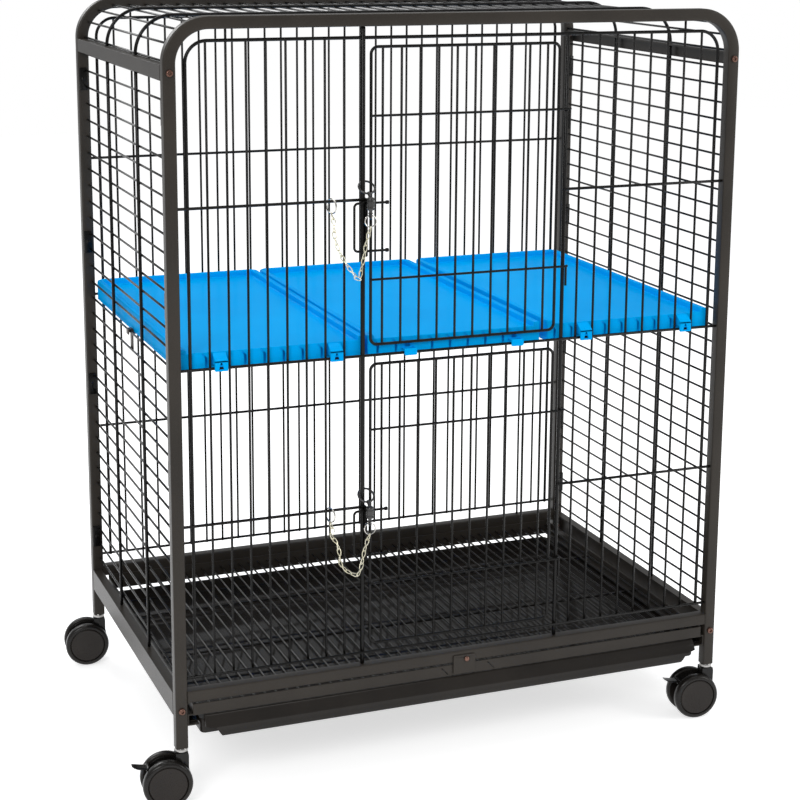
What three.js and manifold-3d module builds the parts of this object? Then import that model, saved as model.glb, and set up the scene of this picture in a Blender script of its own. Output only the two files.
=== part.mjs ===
// Two-door wire ferret cage on four swivel castors, in millimetres, +Z up.
// The doors face -Y and the left side is -X.  Sizes below are measured from the middle of the frame;
// at the end the origin moves to the middle of the whole outline, castors included, on the floor.
import * as THREE from 'three';
import Module from 'manifold-3d';
import { mergeVertices } from 'three/addons/utils/BufferGeometryUtils.js';

const wasm = await Module();
wasm.setup();

// ---------------------------------------------------------------- driving sizes
const PITCH = 25.4;            // spacing of the upright wires
const ROW_STEP = 8;            // pitches between the level wires of a panel
const TUBE = 16;               // square tube of the two frame hoops
const TUBE_WALL = 1.4;
const HALF_W = 397.5;          // outer face of the legs
const PLANE_Y = 249;           // mid plane of the front and rear hoops and panels
const HOOP_TOP = 1013;         // top face of the hoops
const LEG_Z = 76;              // lower end of the legs
const BEND_R = 50;             // centre-line radius of the hoop corners
const CLEAR = 0.3;             // gap left between neighbouring pieces
const LEG_IN = HALF_W - TUBE;  // inner face of the legs
const BORDER_GAP = 13;         // least room between a leg and the border wire of a panel
const COLS = Math.floor(2 * (LEG_IN - BORDER_GAP) / PITCH);   // pitches between the two border wires

const PANEL_Z = 170.2;         // lowest level wire of the front and rear panels
const PANEL_TOP = PANEL_Z + 4 * ROW_STEP * PITCH;
const BORDER_X = COLS * PITCH / 2;
const BORDER_R = 2.2;          // half thickness of the panel border wire
const LEVEL_R = 1.9;           // half thickness of the level wires
const UPRIGHT_R = 1.6;         // half thickness of the upright wires
const WELD = 0.5;              // depth by which crossing wires are sunk into each other
const LEVEL_OFF = LEVEL_R + UPRIGHT_R - WELD;
const PANEL_CORNER = 27;
const PANEL_FOOT = PANEL_Z - 1.2;

const POST_X = -140;           // latch post on the front panel
const POST_R = 3;
const HINGE_X = 143.5;         // hinge post on the front panel
const HINGE_R = 2.6;

const RAIL_Z = 137.5;          // underside of the front and rear base rails
const SIDE_Z = [118, 149];     // base angle on each side: lower edge and top
const TOP_RAIL_Z = [HOOP_TOP - 76.5, HOOP_TOP - 58.5];
const SHEET = 2.4;             // gauge of the side angles
const FLANGE_W = 12.6;         // width of their upper flange

const colours = {
  frame: 0x4a4440, wire: 0x2b2826, shelf: 0x12a0ee, plastic: 0x24211f,
  chrome: 0xc4c6c8, chain: 0xcfc7a0, tray: 0x3b3734, bracket: 0x2a211d, screw: 0x5d4b42,
};

// ---------------------------------------------------------------- helpers
const group = new THREE.Group();
group.name = 'ferret_cage';

// a path given by its own stations, so that bends keep exactly the stations they need
class StationPath extends THREE.Curve {
  constructor(points, tangents) {
    super();
    this.points = points;
    this.tangents = tangents;
  }
  getPoint(t) {
    return this.points[Math.round(t * (this.points.length - 1))].clone();
  }
  getPointAt(t) {
    return this.getPoint(t);
  }
  getTangentAt(t) {
    return this.tangents[Math.round(t * (this.tangents.length - 1))].clone();
  }
}

const v = (x, y, z) => new THREE.Vector3(x, y, z);

// stations of a polyline whose inner corners are rounded with radius r in n steps
function rounded(corners, r, n) {
  const points = [corners[0]];
  const tangents = [corners[1].clone().sub(corners[0]).normalize()];
  for (let i = 1; i < corners.length - 1; i += 1) {
    const a = corners[i].clone().sub(corners[i - 1]).normalize();
    const b = corners[i + 1].clone().sub(corners[i]).normalize();
    const turn = a.angleTo(b);
    const back = r * Math.tan(turn / 2);
    const start = corners[i].clone().addScaledVector(a, -back);
    const side = b.clone().addScaledVector(a, -a.dot(b)).normalize();
    for (let k = 0; k <= n; k += 1) {
      const t = turn * k / n;
      const ahead = start.clone().addScaledVector(a, r * Math.sin(t));
      points.push(ahead.addScaledVector(side, r * (1 - Math.cos(t))));
      tangents.push(a.clone().multiplyScalar(Math.cos(t)).addScaledVector(side, Math.sin(t)));
    }
  }
  const last = corners.length - 1;
  points.push(corners[last]);
  tangents.push(corners[last].clone().sub(corners[last - 1]).normalize());
  return { points, tangents };
}

// stations straight through the given points
function through(points) {
  const tangents = points.map((p, i) => {
    const a = points[Math.max(i - 1, 0)];
    const b = points[Math.min(i + 1, points.length - 1)];
    return b.clone().sub(a).normalize();
  });
  return { points, tangents };
}

function polygon(n, r, turn = 0) {
  const pts = [];
  for (let i = 0; i < n; i += 1) {
    const a = turn + 2 * Math.PI * i / n;
    pts.push(new THREE.Vector2(r * Math.cos(a), r * Math.sin(a)));
  }
  return new THREE.Shape(pts);
}

function square(side, wall = 0) {
  const shape = polygon(4, side / Math.SQRT2, Math.PI / 4);
  if (wall > 0) {
    shape.holes.push(polygon(4, side / Math.SQRT2 - wall * Math.SQRT2, Math.PI / 4));
  }
  return shape;
}

function sweep(stations, shape) {
  return new THREE.ExtrudeGeometry(shape, {
    steps: stations.points.length - 1,
    bevelEnabled: false,
    extrudePath: new StationPath(stations.points, stations.tangents),
  });
}

function solid(geometry) {
  const g = geometry.clone();
  g.deleteAttribute('normal');
  g.deleteAttribute('uv');
  const m = mergeVertices(g, 1e-4);
  return new wasm.Manifold(new wasm.Mesh({
    numProp: 3,
    vertProperties: Float32Array.from(m.attributes.position.array),
    triVerts: Uint32Array.from(m.index.array),
  }));
}

const join = (list) => list.reduce((a, b) => a.add(b));
// thin wire of three sides with one ridge towards `side`, so that crossing wires meet ridge to ridge
function wire(a, b, r, side) {
  const along = b.clone().sub(a).normalize();
  const g = new THREE.ExtrudeGeometry(polygon(3, r), { depth: a.distanceTo(b), bevelEnabled: false });
  g.applyMatrix4(new THREE.Matrix4().makeBasis(side, new THREE.Vector3().crossVectors(along, side), along));
  g.translate(a.x, a.y, a.z);
  return solid(g);
}
const bar = (a, b, r) => solid(sweep(through([a, b]), polygon(4, r)));
const rod = (a, b, r, n) => solid(sweep(through([a, b]), polygon(n, r)));

function box(x0, x1, y0, y1, z0, z1) {
  const g = new THREE.BoxGeometry(x1 - x0, y1 - y0, z1 - z0);
  g.translate((x0 + x1) / 2, (y0 + y1) / 2, (z0 + z1) / 2);
  return solid(g);
}

// a ring round the given axis
function ring(centre, axis, radius, r, sides, steps) {
  const g = new THREE.TorusGeometry(radius, r, sides, steps);
  g.applyQuaternion(new THREE.Quaternion().setFromUnitVectors(v(0, 0, 1), axis.clone().normalize()));
  g.translate(centre.x, centre.y, centre.z);
  return solid(g);
}

// a flat outline in the XZ plane, y0 to y1 deep
function plateXZ(points, y0, y1) {
  const g = new THREE.ExtrudeGeometry(new THREE.Shape(points.map(([x, z]) => new THREE.Vector2(x, z))), {
    depth: y1 - y0, bevelEnabled: false, steps: 1,
  });
  g.rotateX(Math.PI / 2);
  g.translate(0, y1, 0);
  return solid(g);
}

// a flat outline in the YZ plane, x0 to x1 wide
function plateYZ(points, x0, x1) {
  const g = new THREE.ExtrudeGeometry(new THREE.Shape(points.map(([y, z]) => new THREE.Vector2(y, z))), {
    depth: x1 - x0, bevelEnabled: false, steps: 1,
  });
  g.rotateX(Math.PI / 2);
  g.rotateZ(Math.PI / 2);
  g.translate(x0, 0, 0);
  return solid(g);
}

function addPart(name, manifold, colour, metalness = 0.6, roughness = 0.5) {
  const out = manifold.getMesh();
  const positions = new Float32Array(out.vertProperties.length / out.numProp * 3);
  for (let i = 0; i < positions.length / 3; i += 1) {
    positions[3 * i] = out.vertProperties[i * out.numProp];
    positions[3 * i + 1] = out.vertProperties[i * out.numProp + 1];
    positions[3 * i + 2] = out.vertProperties[i * out.numProp + 2];
  }
  const geometry = new THREE.BufferGeometry();
  geometry.setAttribute('position', new THREE.BufferAttribute(positions, 3));
  geometry.setIndex(new THREE.BufferAttribute(Uint32Array.from(out.triVerts), 1));
  const flat = geometry.toNonIndexed();
  flat.computeVertexNormals();
  const mesh = new THREE.Mesh(flat, new THREE.MeshStandardMaterial({ color: colour, metalness, roughness }));
  mesh.name = name;
  group.add(mesh);
}

const column = (i) => (i - COLS / 2) * PITCH;
const level = (k) => PANEL_Z + k * ROW_STEP * PITCH;

// ---------------------------------------------------------------- frame hoops
const SCREW_Z = [128, (TOP_RAIL_Z[0] + TOP_RAIL_Z[1]) / 2];
const SCREW_X = HALF_W - TUBE / 2;
const SHANK_R = 2.5;
const SCREW_HOLE_R = SHANK_R + 0.4;

for (const [name, y] of [['front_hoop', -PLANE_Y], ['rear_hoop', PLANE_Y]]) {
  const x = HALF_W - TUBE / 2;
  const top = HOOP_TOP - TUBE / 2;
  const path = rounded([v(-x, y, LEG_Z), v(-x, y, top), v(x, y, top), v(x, y, LEG_Z)], BEND_R, 6);
  let hoop = solid(sweep(path, square(TUBE, TUBE_WALL)));
  for (const sx of [-1, 1]) {
    for (const z of SCREW_Z) {
      hoop = hoop.subtract(rod(v(sx * SCREW_X, y - TUBE, z), v(sx * SCREW_X, y + TUBE, z), SCREW_HOLE_R, 6));
    }
  }
  addPart(name, hoop, colours.frame);
}

for (const [name, y] of [['front_base_rail', -PLANE_Y], ['rear_base_rail', PLANE_Y]]) {
  const z = RAIL_Z + TUBE / 2;
  const x = LEG_IN - CLEAR;
  addPart(name, solid(sweep(through([v(-x, y, z), v(x, y, z)]), square(TUBE, TUBE_WALL))), colours.frame);
}

// side angles: an outer web, a flange turned in along the top and a tab at each end for the screw
const TAB_Y = PLANE_Y - TUBE / 2 - CLEAR;
for (const [side, sx] of [['left', -1], ['right', 1]]) {
  const sheet = (x0, x1, y0, y1, z0, z1) => (
    sx < 0 ? box(-x1, -x0, y0, y1, z0, z1) : box(x0, x1, y0, y1, z0, z1));
  for (const [place, z0, z1, zs] of [
    ['base', SIDE_Z[0], SIDE_Z[1], SCREW_Z[0]], ['top', TOP_RAIL_Z[0], TOP_RAIL_Z[1], SCREW_Z[1]]]) {
    let rail = sheet(HALF_W - SHEET, HALF_W, -TAB_Y, TAB_Y, z0, z1);
    rail = rail.add(sheet(HALF_W - FLANGE_W, HALF_W - SHEET / 2, -TAB_Y, TAB_Y, z1 - SHEET, z1));
    for (const sy of [-1, 1]) {
      const y0 = sy < 0 ? -TAB_Y : TAB_Y - SHEET;
      rail = rail.add(sheet(HALF_W - FLANGE_W, HALF_W - SHEET / 2, y0, y0 + SHEET, z0, z1 - SHEET / 2));
      rail = rail.subtract(rod(v(sx * SCREW_X, y0 - 4, zs), v(sx * SCREW_X, y0 + 6, zs), SCREW_HOLE_R, 6));
    }
    addPart(`${side}_${place}_rail`, rail, colours.frame);
  }
}

// socket screws through the legs into the tabs
for (const [end, sy] of [['front', -1], ['rear', 1]]) {
  for (const [side, sx] of [['left', -1], ['right', 1]]) {
    for (const [place, z] of [['lower', SCREW_Z[0]], ['upper', SCREW_Z[1]]]) {
      const face = sy * (PLANE_Y + TUBE / 2 + 0.1);
      const point = (d) => v(sx * SCREW_X, face + sy * d, z);
      const at = (d, r, n, d1) => rod(point(d), point(d1), r, n);
      let screw = at(0, 4.5, 10, 3.4).add(at(-TUBE - SHEET - 3, SHANK_R, 6, 0.6));
      screw = screw.subtract(at(1.4, 2.2, 6, 5));
      addPart(`${end}_${side}_${place}_screw`, screw, colours.screw, 0.8, 0.4);
    }
  }
}

// ---------------------------------------------------------------- front and rear wire panels
function panelBorder(y) {
  const corners = [v(-BORDER_X, y, PANEL_FOOT), v(-BORDER_X, y, PANEL_TOP), v(BORDER_X, y, PANEL_TOP),
    v(BORDER_X, y, PANEL_FOOT)];
  return solid(sweep(rounded(corners, PANEL_CORNER, 4), polygon(4, BORDER_R)));
}

const FRONT = -PLANE_Y;
const GUIDE = { x0: POST_X + 1.2, x1: POST_X + 3.4, y0: FRONT - 9.4, y1: FRONT - 0.6 };
const BOLTS = [
  { name: 'upper', zTop: 775.6, zLow: 714, hookZ: 795, ringX: -183.2, levelIndex: 3 },
  { name: 'lower', zTop: 368.6, zLow: 307, hookZ: 388, ringX: -185.6, levelIndex: 1 },
];
const ARM_R = 1.6;
const ARM_Y = FRONT - 6.1;

{
  const y = FRONT;
  const yLevel = y - LEVEL_OFF;
  const end = LEG_IN - CLEAR;
  const out = v(0, -1, 0);
  const parts = [panelBorder(y)];
  for (let i = 1; i < COLS; i += 1) {
    const betweenPosts = column(i) > POST_X - PITCH / 2 && column(i) < HINGE_X + PITCH / 2;
    if (!betweenPosts) {
      const top = i === 2 || i === COLS - 2 ? HOOP_TOP - TUBE - CLEAR : PANEL_TOP;
      parts.push(wire(v(column(i), y, PANEL_FOOT), v(column(i), y, top), UPRIGHT_R, out));
    }
  }
  const levelWire = (x0, x1, k) => (
    wire(v(x0, yLevel, level(k)), v(x1, yLevel, level(k)), LEVEL_R, v(0, 1, 0)));
  parts.push(levelWire(-end, end, 0), levelWire(-end, end, 2));
  for (const k of [1, 3]) {
    parts.push(levelWire(-end, POST_X, k), levelWire(HINGE_X, end, k));
  }
  parts.push(rod(v(POST_X, y, RAIL_Z + TUBE + CLEAR), v(POST_X, y, HOOP_TOP - TUBE - CLEAR), POST_R, 6));
  parts.push(rod(v(HINGE_X, y, RAIL_Z + TUBE + CLEAR), v(HINGE_X, y, PANEL_TOP), HINGE_R, 6));
  for (const bolt of BOLTS) {
    parts.push(box(GUIDE.x0, GUIDE.x1, GUIDE.y0, GUIDE.y1, bolt.zLow - 7, bolt.zTop + 6.4));
  }
  let panel = join(parts);
  for (const bolt of BOLTS) {
    for (const z of [bolt.zTop, bolt.zLow]) {
      const g = ARM_R + 0.5;
      panel = panel.subtract(box(GUIDE.x0 - 0.8, GUIDE.x1 + 1, ARM_Y - g, ARM_Y + g, z - g, z + g));
    }
  }
  addPart('front_panel', panel, colours.wire);
}

{
  const y = PLANE_Y;
  const end = LEG_IN - CLEAR;
  const out = v(0, 1, 0);
  const parts = [panelBorder(y)];
  for (let i = 1; i < COLS; i += 1) {
    const peg = i === 2 || i === Math.floor(COLS / 2) || i === COLS - 2;
    parts.push(wire(v(column(i), y, peg ? RAIL_Z + TUBE + CLEAR : PANEL_FOOT),
      v(column(i), y, peg ? HOOP_TOP - TUBE - CLEAR : PANEL_TOP), UPRIGHT_R, out));
  }
  for (let k = 0; k < 4; k += 1) {
    parts.push(wire(v(-end, y + LEVEL_OFF, level(k)), v(end, y + LEVEL_OFF, level(k)), LEVEL_R, v(0, -1, 0)));
  }
  addPart('rear_panel', join(parts), colours.wire);
}

// ---------------------------------------------------------------- side and top mesh
const MESH_ROW = 23.914;       // spacing of the fore-and-aft wires
const MESH_ROW_Z = 167.6;      // lowest one
const SIDE_ROWS = Math.floor((TOP_RAIL_Z[0] - 2 - MESH_ROW_Z) / MESH_ROW) + 1;   // rows below the top rail
const HOOP_WIRE_R = 2.3;
const ROW_R = 1.5;
const ROW_IN = HOOP_WIRE_R + ROW_R - WELD;
const MESH_X = HALF_W - TUBE / 2;
const MESH_TOP = HOOP_TOP - TUBE / 2;
const MESH_END = PLANE_Y - TUBE / 2 - 0.6;
const HOOP_YS = [-PLANE_Y / 3, PLANE_Y / 3];
const CLIP_ROWS = [1, 11, 20, SIDE_ROWS - 3];   // each clip plate joins this row's end and the next one's
const ARC_Z = MESH_TOP - BEND_R;     // where the bend starts

for (const [side, sx] of [['left', -1], ['right', 1]]) {
  const parts = [];
  for (const y of HOOP_YS) {
    const foot = SIDE_Z[1] + CLEAR;
    const head = TOP_RAIL_Z[1] - SHEET - CLEAR;
    parts.push(bar(v(sx * MESH_X, y, foot), v(sx * MESH_X, y, head), HOOP_WIRE_R));
  }
  for (let k = 0; k < SIDE_ROWS; k += 1) {
    const z = MESH_ROW_Z + k * MESH_ROW;
    const x = sx * (MESH_X - ROW_IN);
    parts.push(wire(v(x, -MESH_END + 0.6, z), v(x, MESH_END - 0.6, z), ROW_R, v(sx, 0, 0)));
  }
  for (const k of CLIP_ROWS) {
    const mid = MESH_ROW_Z + (k + 0.5) * MESH_ROW;
    for (const sy of [-1, 1]) {
      const y0 = sy < 0 ? -MESH_END : MESH_END - 2;
      const xs = [sx * (MESH_X - ROW_IN - 1), sx * (HALF_W - 0.6)].sort((a, b) => a - b);
      parts.push(box(xs[0], xs[1], y0, y0 + 2, mid - 16, mid + 16));
    }
  }
  addPart(`${side}_mesh`, join(parts), colours.wire);
}

{
  const parts = [];
  const arc = BEND_R * Math.PI / 2;
  const flat = MESH_X - BEND_R;
  const startZ = TOP_RAIL_Z[1] + CLEAR;
  const rise = ARC_Z - startZ;
  const total = 2 * rise + 2 * arc + 2 * flat;
  // position and outward normal at length s along the top wire, from the left rail upwards
  const along = (s) => {
    if (s <= rise) {
      return [-MESH_X, startZ + s, -1, 0];
    }
    if (s <= rise + arc) {
      const a = (s - rise) / BEND_R;
      return [-flat - BEND_R * Math.cos(a), ARC_Z + BEND_R * Math.sin(a), -Math.cos(a), Math.sin(a)];
    }
    if (s <= total / 2) {
      return [-flat + (s - rise - arc), MESH_TOP, 0, 1];
    }
    const [x, z, nx, nz] = along(total - s);
    return [-x, z, -nx, nz];
  };
  for (const y of HOOP_YS) {
    const corners = [v(-MESH_X, y, startZ), v(-MESH_X, y, MESH_TOP), v(MESH_X, y, MESH_TOP),
      v(MESH_X, y, startZ)];
    parts.push(solid(sweep(rounded(corners, BEND_R, 6), polygon(4, HOOP_WIRE_R))));
  }
  const hidden = Math.ceil((startZ + ROW_R - MESH_ROW_Z) / MESH_ROW);   // rows below the top wire's start
  const first = MESH_ROW_Z + hidden * MESH_ROW - startZ;
  const rows = Math.round((total - 2 * first) / MESH_ROW);
  for (let k = 0; k <= rows; k += 1) {
    const [x, z, nx, nz] = along(first + (total - 2 * first) * k / rows);
    const px = x - nx * ROW_IN * 0.93;
    const pz = z - nz * ROW_IN * 0.93;
    parts.push(wire(v(px, -MESH_END, pz), v(px, MESH_END, pz), ROW_R, v(nx, 0, nz)));
  }
  addPart('top_mesh', join(parts), colours.wire);
}

// ---------------------------------------------------------------- doors
const DOOR_X = [-130, 131.3];
const DOOR_Y = FRONT - 1.9;
const DOOR_WIRE = 4;           // thickness of the door's border wire
const DOOR_CORNER = 9;
const DOOR_LEVEL_R = 1.6;
const DOOR_LEVEL_Y = FRONT - HINGE_R - 0.4 - DOOR_LEVEL_R;
const DOOR_END_GAP = 11.4;     // from the panel's lowest wire and its top wire to the doors
const DOORS = [
  { name: 'upper_door', z0: level(2) + 13.7, z1: PANEL_TOP - DOOR_END_GAP, levels: [885.7, 676.1] },
  { name: 'lower_door', z0: PANEL_Z + DOOR_END_GAP, z1: level(2) - 12.2, levels: [477.5, 266.2] },
];
const HOOK_X = HINGE_X + HINGE_R + 0.8 + DOOR_LEVEL_R;
const HOOK_DROP = 27;

function roundedOutline(x0, x1, z0, z1, r, n) {
  const pts = [];
  const corners = [[x1 - r, z1 - r, 0], [x0 + r, z1 - r, 1], [x0 + r, z0 + r, 2], [x1 - r, z0 + r, 3]];
  for (const [cx, cz, q] of corners) {
    for (let k = 0; k <= n; k += 1) {
      const a = (q + k / n) * Math.PI / 2;
      pts.push([cx + r * Math.cos(a), cz + r * Math.sin(a)]);
    }
  }
  return pts;
}

for (const door of DOORS) {
  const h = DOOR_WIRE / 2;
  const outer = roundedOutline(DOOR_X[0] - h, DOOR_X[1] + h, door.z0 - h, door.z1 + h, DOOR_CORNER + h, 3);
  const inner = roundedOutline(DOOR_X[0] + h, DOOR_X[1] - h, door.z0 + h, door.z1 - h, DOOR_CORNER - h, 3);
  let solidDoor = plateXZ(outer, DOOR_Y - h, DOOR_Y + h);
  solidDoor = solidDoor.subtract(plateXZ(inner, DOOR_Y - h - 1, DOOR_Y + h + 1));
  const parts = [solidDoor];
  for (let i = 1; i < COLS; i += 1) {
    if (column(i) > DOOR_X[0] + PITCH / 2 && column(i) < DOOR_X[1] - PITCH / 2) {
      parts.push(wire(v(column(i), DOOR_Y, door.z0), v(column(i), DOOR_Y, door.z1), UPRIGHT_R, v(0, -1, 0)));
    }
  }
  for (const z of door.levels) {
    const hook = rounded([v(DOOR_X[0] - 1, DOOR_LEVEL_Y, z), v(HOOK_X, DOOR_LEVEL_Y, z), v(HOOK_X, FRONT, z),
      v(HOOK_X, FRONT, z - HOOK_DROP)], 2.2, 2);
    parts.push(solid(sweep(hook, polygon(4, DOOR_LEVEL_R))));
  }
  addPart(door.name, join(parts), colours.wire);
}

// ---------------------------------------------------------------- slide bolts, snap hooks, chains
const BOLT_END_X = -153.7;     // closed end of the bolt, left of the latch post
const KNOB_X = -109.2;         // tips, over the door
const KNOB_R = 2.5;
for (const bolt of BOLTS) {
  const path = rounded([v(KNOB_X, ARM_Y, bolt.zTop), v(BOLT_END_X, ARM_Y, bolt.zTop),
    v(BOLT_END_X, ARM_Y, bolt.zLow), v(KNOB_X, ARM_Y, bolt.zLow)], 5, 3);
  const parts = [solid(sweep(path, polygon(6, ARM_R)))];
  for (const z of [bolt.zTop, bolt.zLow]) {
    parts.push(rod(v(KNOB_X - 2, ARM_Y, z), v(KNOB_X + 2, ARM_Y, z), KNOB_R, 6));
  }
  addPart(`${bolt.name}_bolt`, join(parts), colours.wire, 0.7, 0.4);
}

const HOOK_C = -135.3;         // middle of the snap hook's loop
const LOOP_R = 10.5;
const LOOP_TILT = 40 * Math.PI / 180;
const HOOK_BODY_Y = FRONT - 15.6;
const LINK_RING_R = 7.5;
const SPLIT_RING_R = 9.4;
const SPLIT_TURN = 22 * Math.PI / 180;
const CHAIN_Y = FRONT - 12;
const CHAIN_R = 1.7;
const CHAINS = {
  upper: [[-171.5, 748], [-169.5, 734], [-166, 719], [-162.5, 704], [-154.5, 690], [-148.5, 679],
    [-145.5, 694], [-142.5, 710], [-139.4, 727]],
  lower: [[-188, 343], [-180, 331], [-176.5, 318], [-174.5, 302], [-165, 290.5], [-152, 284],
    [-146.5, 293], [-143.4, 308], [-140, 322]],
};

for (const bolt of BOLTS) {
  const y = FRONT - 1;
  const z = bolt.hookZ;
  const loopAxis = v(0, -Math.sin(LOOP_TILT), Math.cos(LOOP_TILT));
  const low = v(HOOK_C, y - LOOP_R * Math.cos(LOOP_TILT), z - LOOP_R * Math.sin(LOOP_TILT));
  const neck = v(HOOK_C, HOOK_BODY_Y, z - 13);
  const eyeZ = z - 34;
  const hook = join([
    ring(v(HOOK_C, y, z), loopAxis, LOOP_R, 1.3, 4, 12),
    rod(low, neck, 2, 6),
    rod(v(HOOK_C, HOOK_BODY_Y, z - 11), v(HOOK_C, HOOK_BODY_Y, z - 27), 4.8, 8),
    rod(v(HOOK_C, HOOK_BODY_Y, z - 26), v(HOOK_C, HOOK_BODY_Y, z - 31), 2.2, 6),
    ring(v(HOOK_C, HOOK_BODY_Y, eyeZ), v(1, 0, 0), 3.8, 1.1, 4, 8),
  ]);
  addPart(`${bolt.name}_snap_hook`, hook, colours.plastic, 0.3, 0.5);

  const linkTop = eyeZ + 0.4;
  const linkCentre = v(HOOK_C, HOOK_BODY_Y, linkTop - LINK_RING_R);
  const linkRing = ring(linkCentre, v(0, 1, 0), LINK_RING_R, 0.9, 4, 12);
  addPart(`${bolt.name}_link_ring`, linkRing, colours.chrome, 0.9, 0.3);

  const yLevel = FRONT - LEVEL_OFF;
  const splitAxis = v(Math.cos(SPLIT_TURN), Math.sin(SPLIT_TURN), 0);
  const splitCentre = v(bolt.ringX, yLevel, level(bolt.levelIndex) + LEVEL_R + 1.4 - SPLIT_RING_R);
  const splitRing = ring(splitCentre, splitAxis, SPLIT_RING_R, 0.9, 4, 12);
  addPart(`${bolt.name}_split_ring`, splitRing, colours.chrome, 0.9, 0.3);

  // the chain as one solid: an eye on each ring and the run between them
  const eyeR = 3.2;
  const tangent = v(-splitAxis.y, splitAxis.x, 0);
  const eyeA = v(splitCentre.x, splitCentre.y, splitCentre.z - SPLIT_RING_R - 0.4);
  const eyeB = v(HOOK_C, HOOK_BODY_Y, linkCentre.z - LINK_RING_R - 0.4);
  const run = [v(eyeA.x, eyeA.y, eyeA.z - eyeR), v(eyeA.x + 0.6, CHAIN_Y + 1.6, eyeA.z - eyeR - 7.5)];
  for (const [cx, cz] of CHAINS[bolt.name]) {
    run.push(v(cx, CHAIN_Y, cz));
  }
  run.push(v(eyeB.x, eyeB.y, eyeB.z - eyeR));
  addPart(`${bolt.name}_chain`, join([
    ring(eyeA, tangent, eyeR, 1, 4, 8),
    ring(eyeB, v(1, 0, 0), eyeR, 1, 4, 8),
    solid(sweep(through(run), polygon(4, CHAIN_R))),
  ]), colours.chain, 0.8, 0.4);
}

// ---------------------------------------------------------------- shelves
const SHELF_GAPS = [0.5, 4.5, 11.5, 11.5];   // leg to left shelf, between the shelves, right shelf to leg
const SHELF_W = (2 * LEG_IN - SHELF_GAPS.reduce((a, b) => a + b)) / 3;
const SHELF_X = [0, 1, 2].map((i) => (
  -LEG_IN + (i + 0.5) * SHELF_W + SHELF_GAPS.slice(0, i + 1).reduce((a, b) => a + b)));
const CLIP_IN = [53, 40];      // about how far the clips sit in from the left and right ends of a shelf
const SHELF_Y = [-PLANE_Y + 4, PLANE_Y - 12];
const CLIP_Z = level(2) + LEVEL_R + CLEAR;     // underside of the clips' bridge, over the level wire
const SHELF_DECK = CLIP_Z + 14.7;
const SHELF_TOP = SHELF_DECK + 8.5;            // top of the raised rim
const SHELF_FRONT_TOP = SHELF_DECK + 2.7;
const SHELF_SKIRT_Z = SHELF_DECK - 20.2;
const RIM_W = 9;
const SKIRT = 2.6;
const CLIP_W = 17;
const CLIP_DROP = 5.2;         // by which the clips hang down in front of the level wires
// the middle of the gap between two uprights that lies nearest to x
const midGap = (x) => column(Math.round(x / PITCH + COLS / 2 - 0.5) + 0.5);

for (const [index, name] of ['left_shelf', 'middle_shelf', 'right_shelf'].entries()) {
  const x0 = SHELF_X[index] - SHELF_W / 2;
  const x1 = SHELF_X[index] + SHELF_W / 2;
  const [y0, y1] = SHELF_Y;
  const corner = (d) => [[x0 + d, y0 + d], [x1 - d, y0 + d], [x1 - d, y1 - 8 - d], [x1 - 8 - d, y1 - d],
    [x0 + 8 + d, y1 - d], [x0 + d, y1 - 8 - d]];
  const slab = (points, z0, z1) => {
    const g = new THREE.ExtrudeGeometry(new THREE.Shape(points.map(([x, y]) => new THREE.Vector2(x, y))), {
      depth: z1 - z0, bevelEnabled: false, steps: 1,
    });
    g.translate(0, 0, z0);
    return solid(g);
  };
  let body = slab(corner(0), SHELF_SKIRT_Z, SHELF_TOP);
  body = body.subtract(box(x0 + RIM_W, x1 - RIM_W, y0 + SKIRT, y1 - RIM_W, SHELF_DECK, SHELF_TOP + 5));
  body = body.subtract(box(x0 + RIM_W, x1 - RIM_W, y0 - 5, y0 + SKIRT + 1, SHELF_FRONT_TOP, SHELF_TOP + 5));
  body = body.subtract(slab(corner(SKIRT), SHELF_SKIRT_Z - 5, SHELF_DECK - SKIRT));
  // the rim is bevelled along both long sides
  for (const [xe, dir] of [[x0, 1], [x1, -1]]) {
    const bevel = [[xe - dir, SHELF_TOP - 3.4], [xe + 3.4 * dir, SHELF_TOP + 1], [xe - dir, SHELF_TOP + 1]];
    body = body.subtract(plateXZ(bevel, y0 - 5, y1 + 5));
  }
  // clips over the level wires: those under the upper door are low, the other front ones run up to the rim
  const parts = [body];
  for (const xc of [midGap(x0 + CLIP_IN[0]), midGap(x1 - CLIP_IN[1])]) {
    for (const sy of [-1, 1]) {
      const inner = sy < 0 ? y0 + 1 : y1 - 1;
      const outer = sy * (PLANE_Y + 8.6);
      const back = outer - sy * 2.2;
      const half = CLIP_W / 2;
      const hook = [[inner, CLIP_Z], [back, CLIP_Z], [back, CLIP_Z - CLIP_DROP], [outer, CLIP_Z - CLIP_DROP]];
      if (sy < 0 && name !== 'middle_shelf') {
        hook.push([outer, CLIP_Z + 8.2], [y0, SHELF_FRONT_TOP - 0.7], [inner, SHELF_FRONT_TOP - 0.7]);
      } else {
        hook.push([outer, CLIP_Z + 3.8], [back, CLIP_Z + 3.8], [back, CLIP_Z + 2.4], [inner, CLIP_Z + 2.4]);
      }
      parts.push(plateYZ(hook, xc - half, xc + half));
    }
  }
  addPart(name, join(parts), colours.shelf, 0, 0.35);
}

// bracket hung over one wire of the left side mesh, with a ledge under the left shelf
{
  const row = { x: -(MESH_X - ROW_IN), z: MESH_ROW_Z + 17 * MESH_ROW };
  const reach = ROW_R + 0.45;
  const inner = row.x + reach;
  const outer = row.x - reach;
  const ledgeTop = SHELF_SKIRT_Z - CLEAR;
  addPart('shelf_bracket', plateXZ([
    [outer - 1.5, row.z - 4], [outer, row.z - 4], [outer, row.z + reach], [inner, row.z + reach],
    [inner, row.z - 26], [inner + 1.8, row.z - 26], [inner + 1.8, ledgeTop - 2.2],
    [inner + 17, ledgeTop - 2.2],
    [inner + 17, ledgeTop], [inner + 1.8, ledgeTop], [inner + 1.8, row.z + reach + 1.8],
    [outer - 1.5, row.z + reach + 1.8]], -4, 8), colours.bracket, 0.5, 0.6);
}

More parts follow.
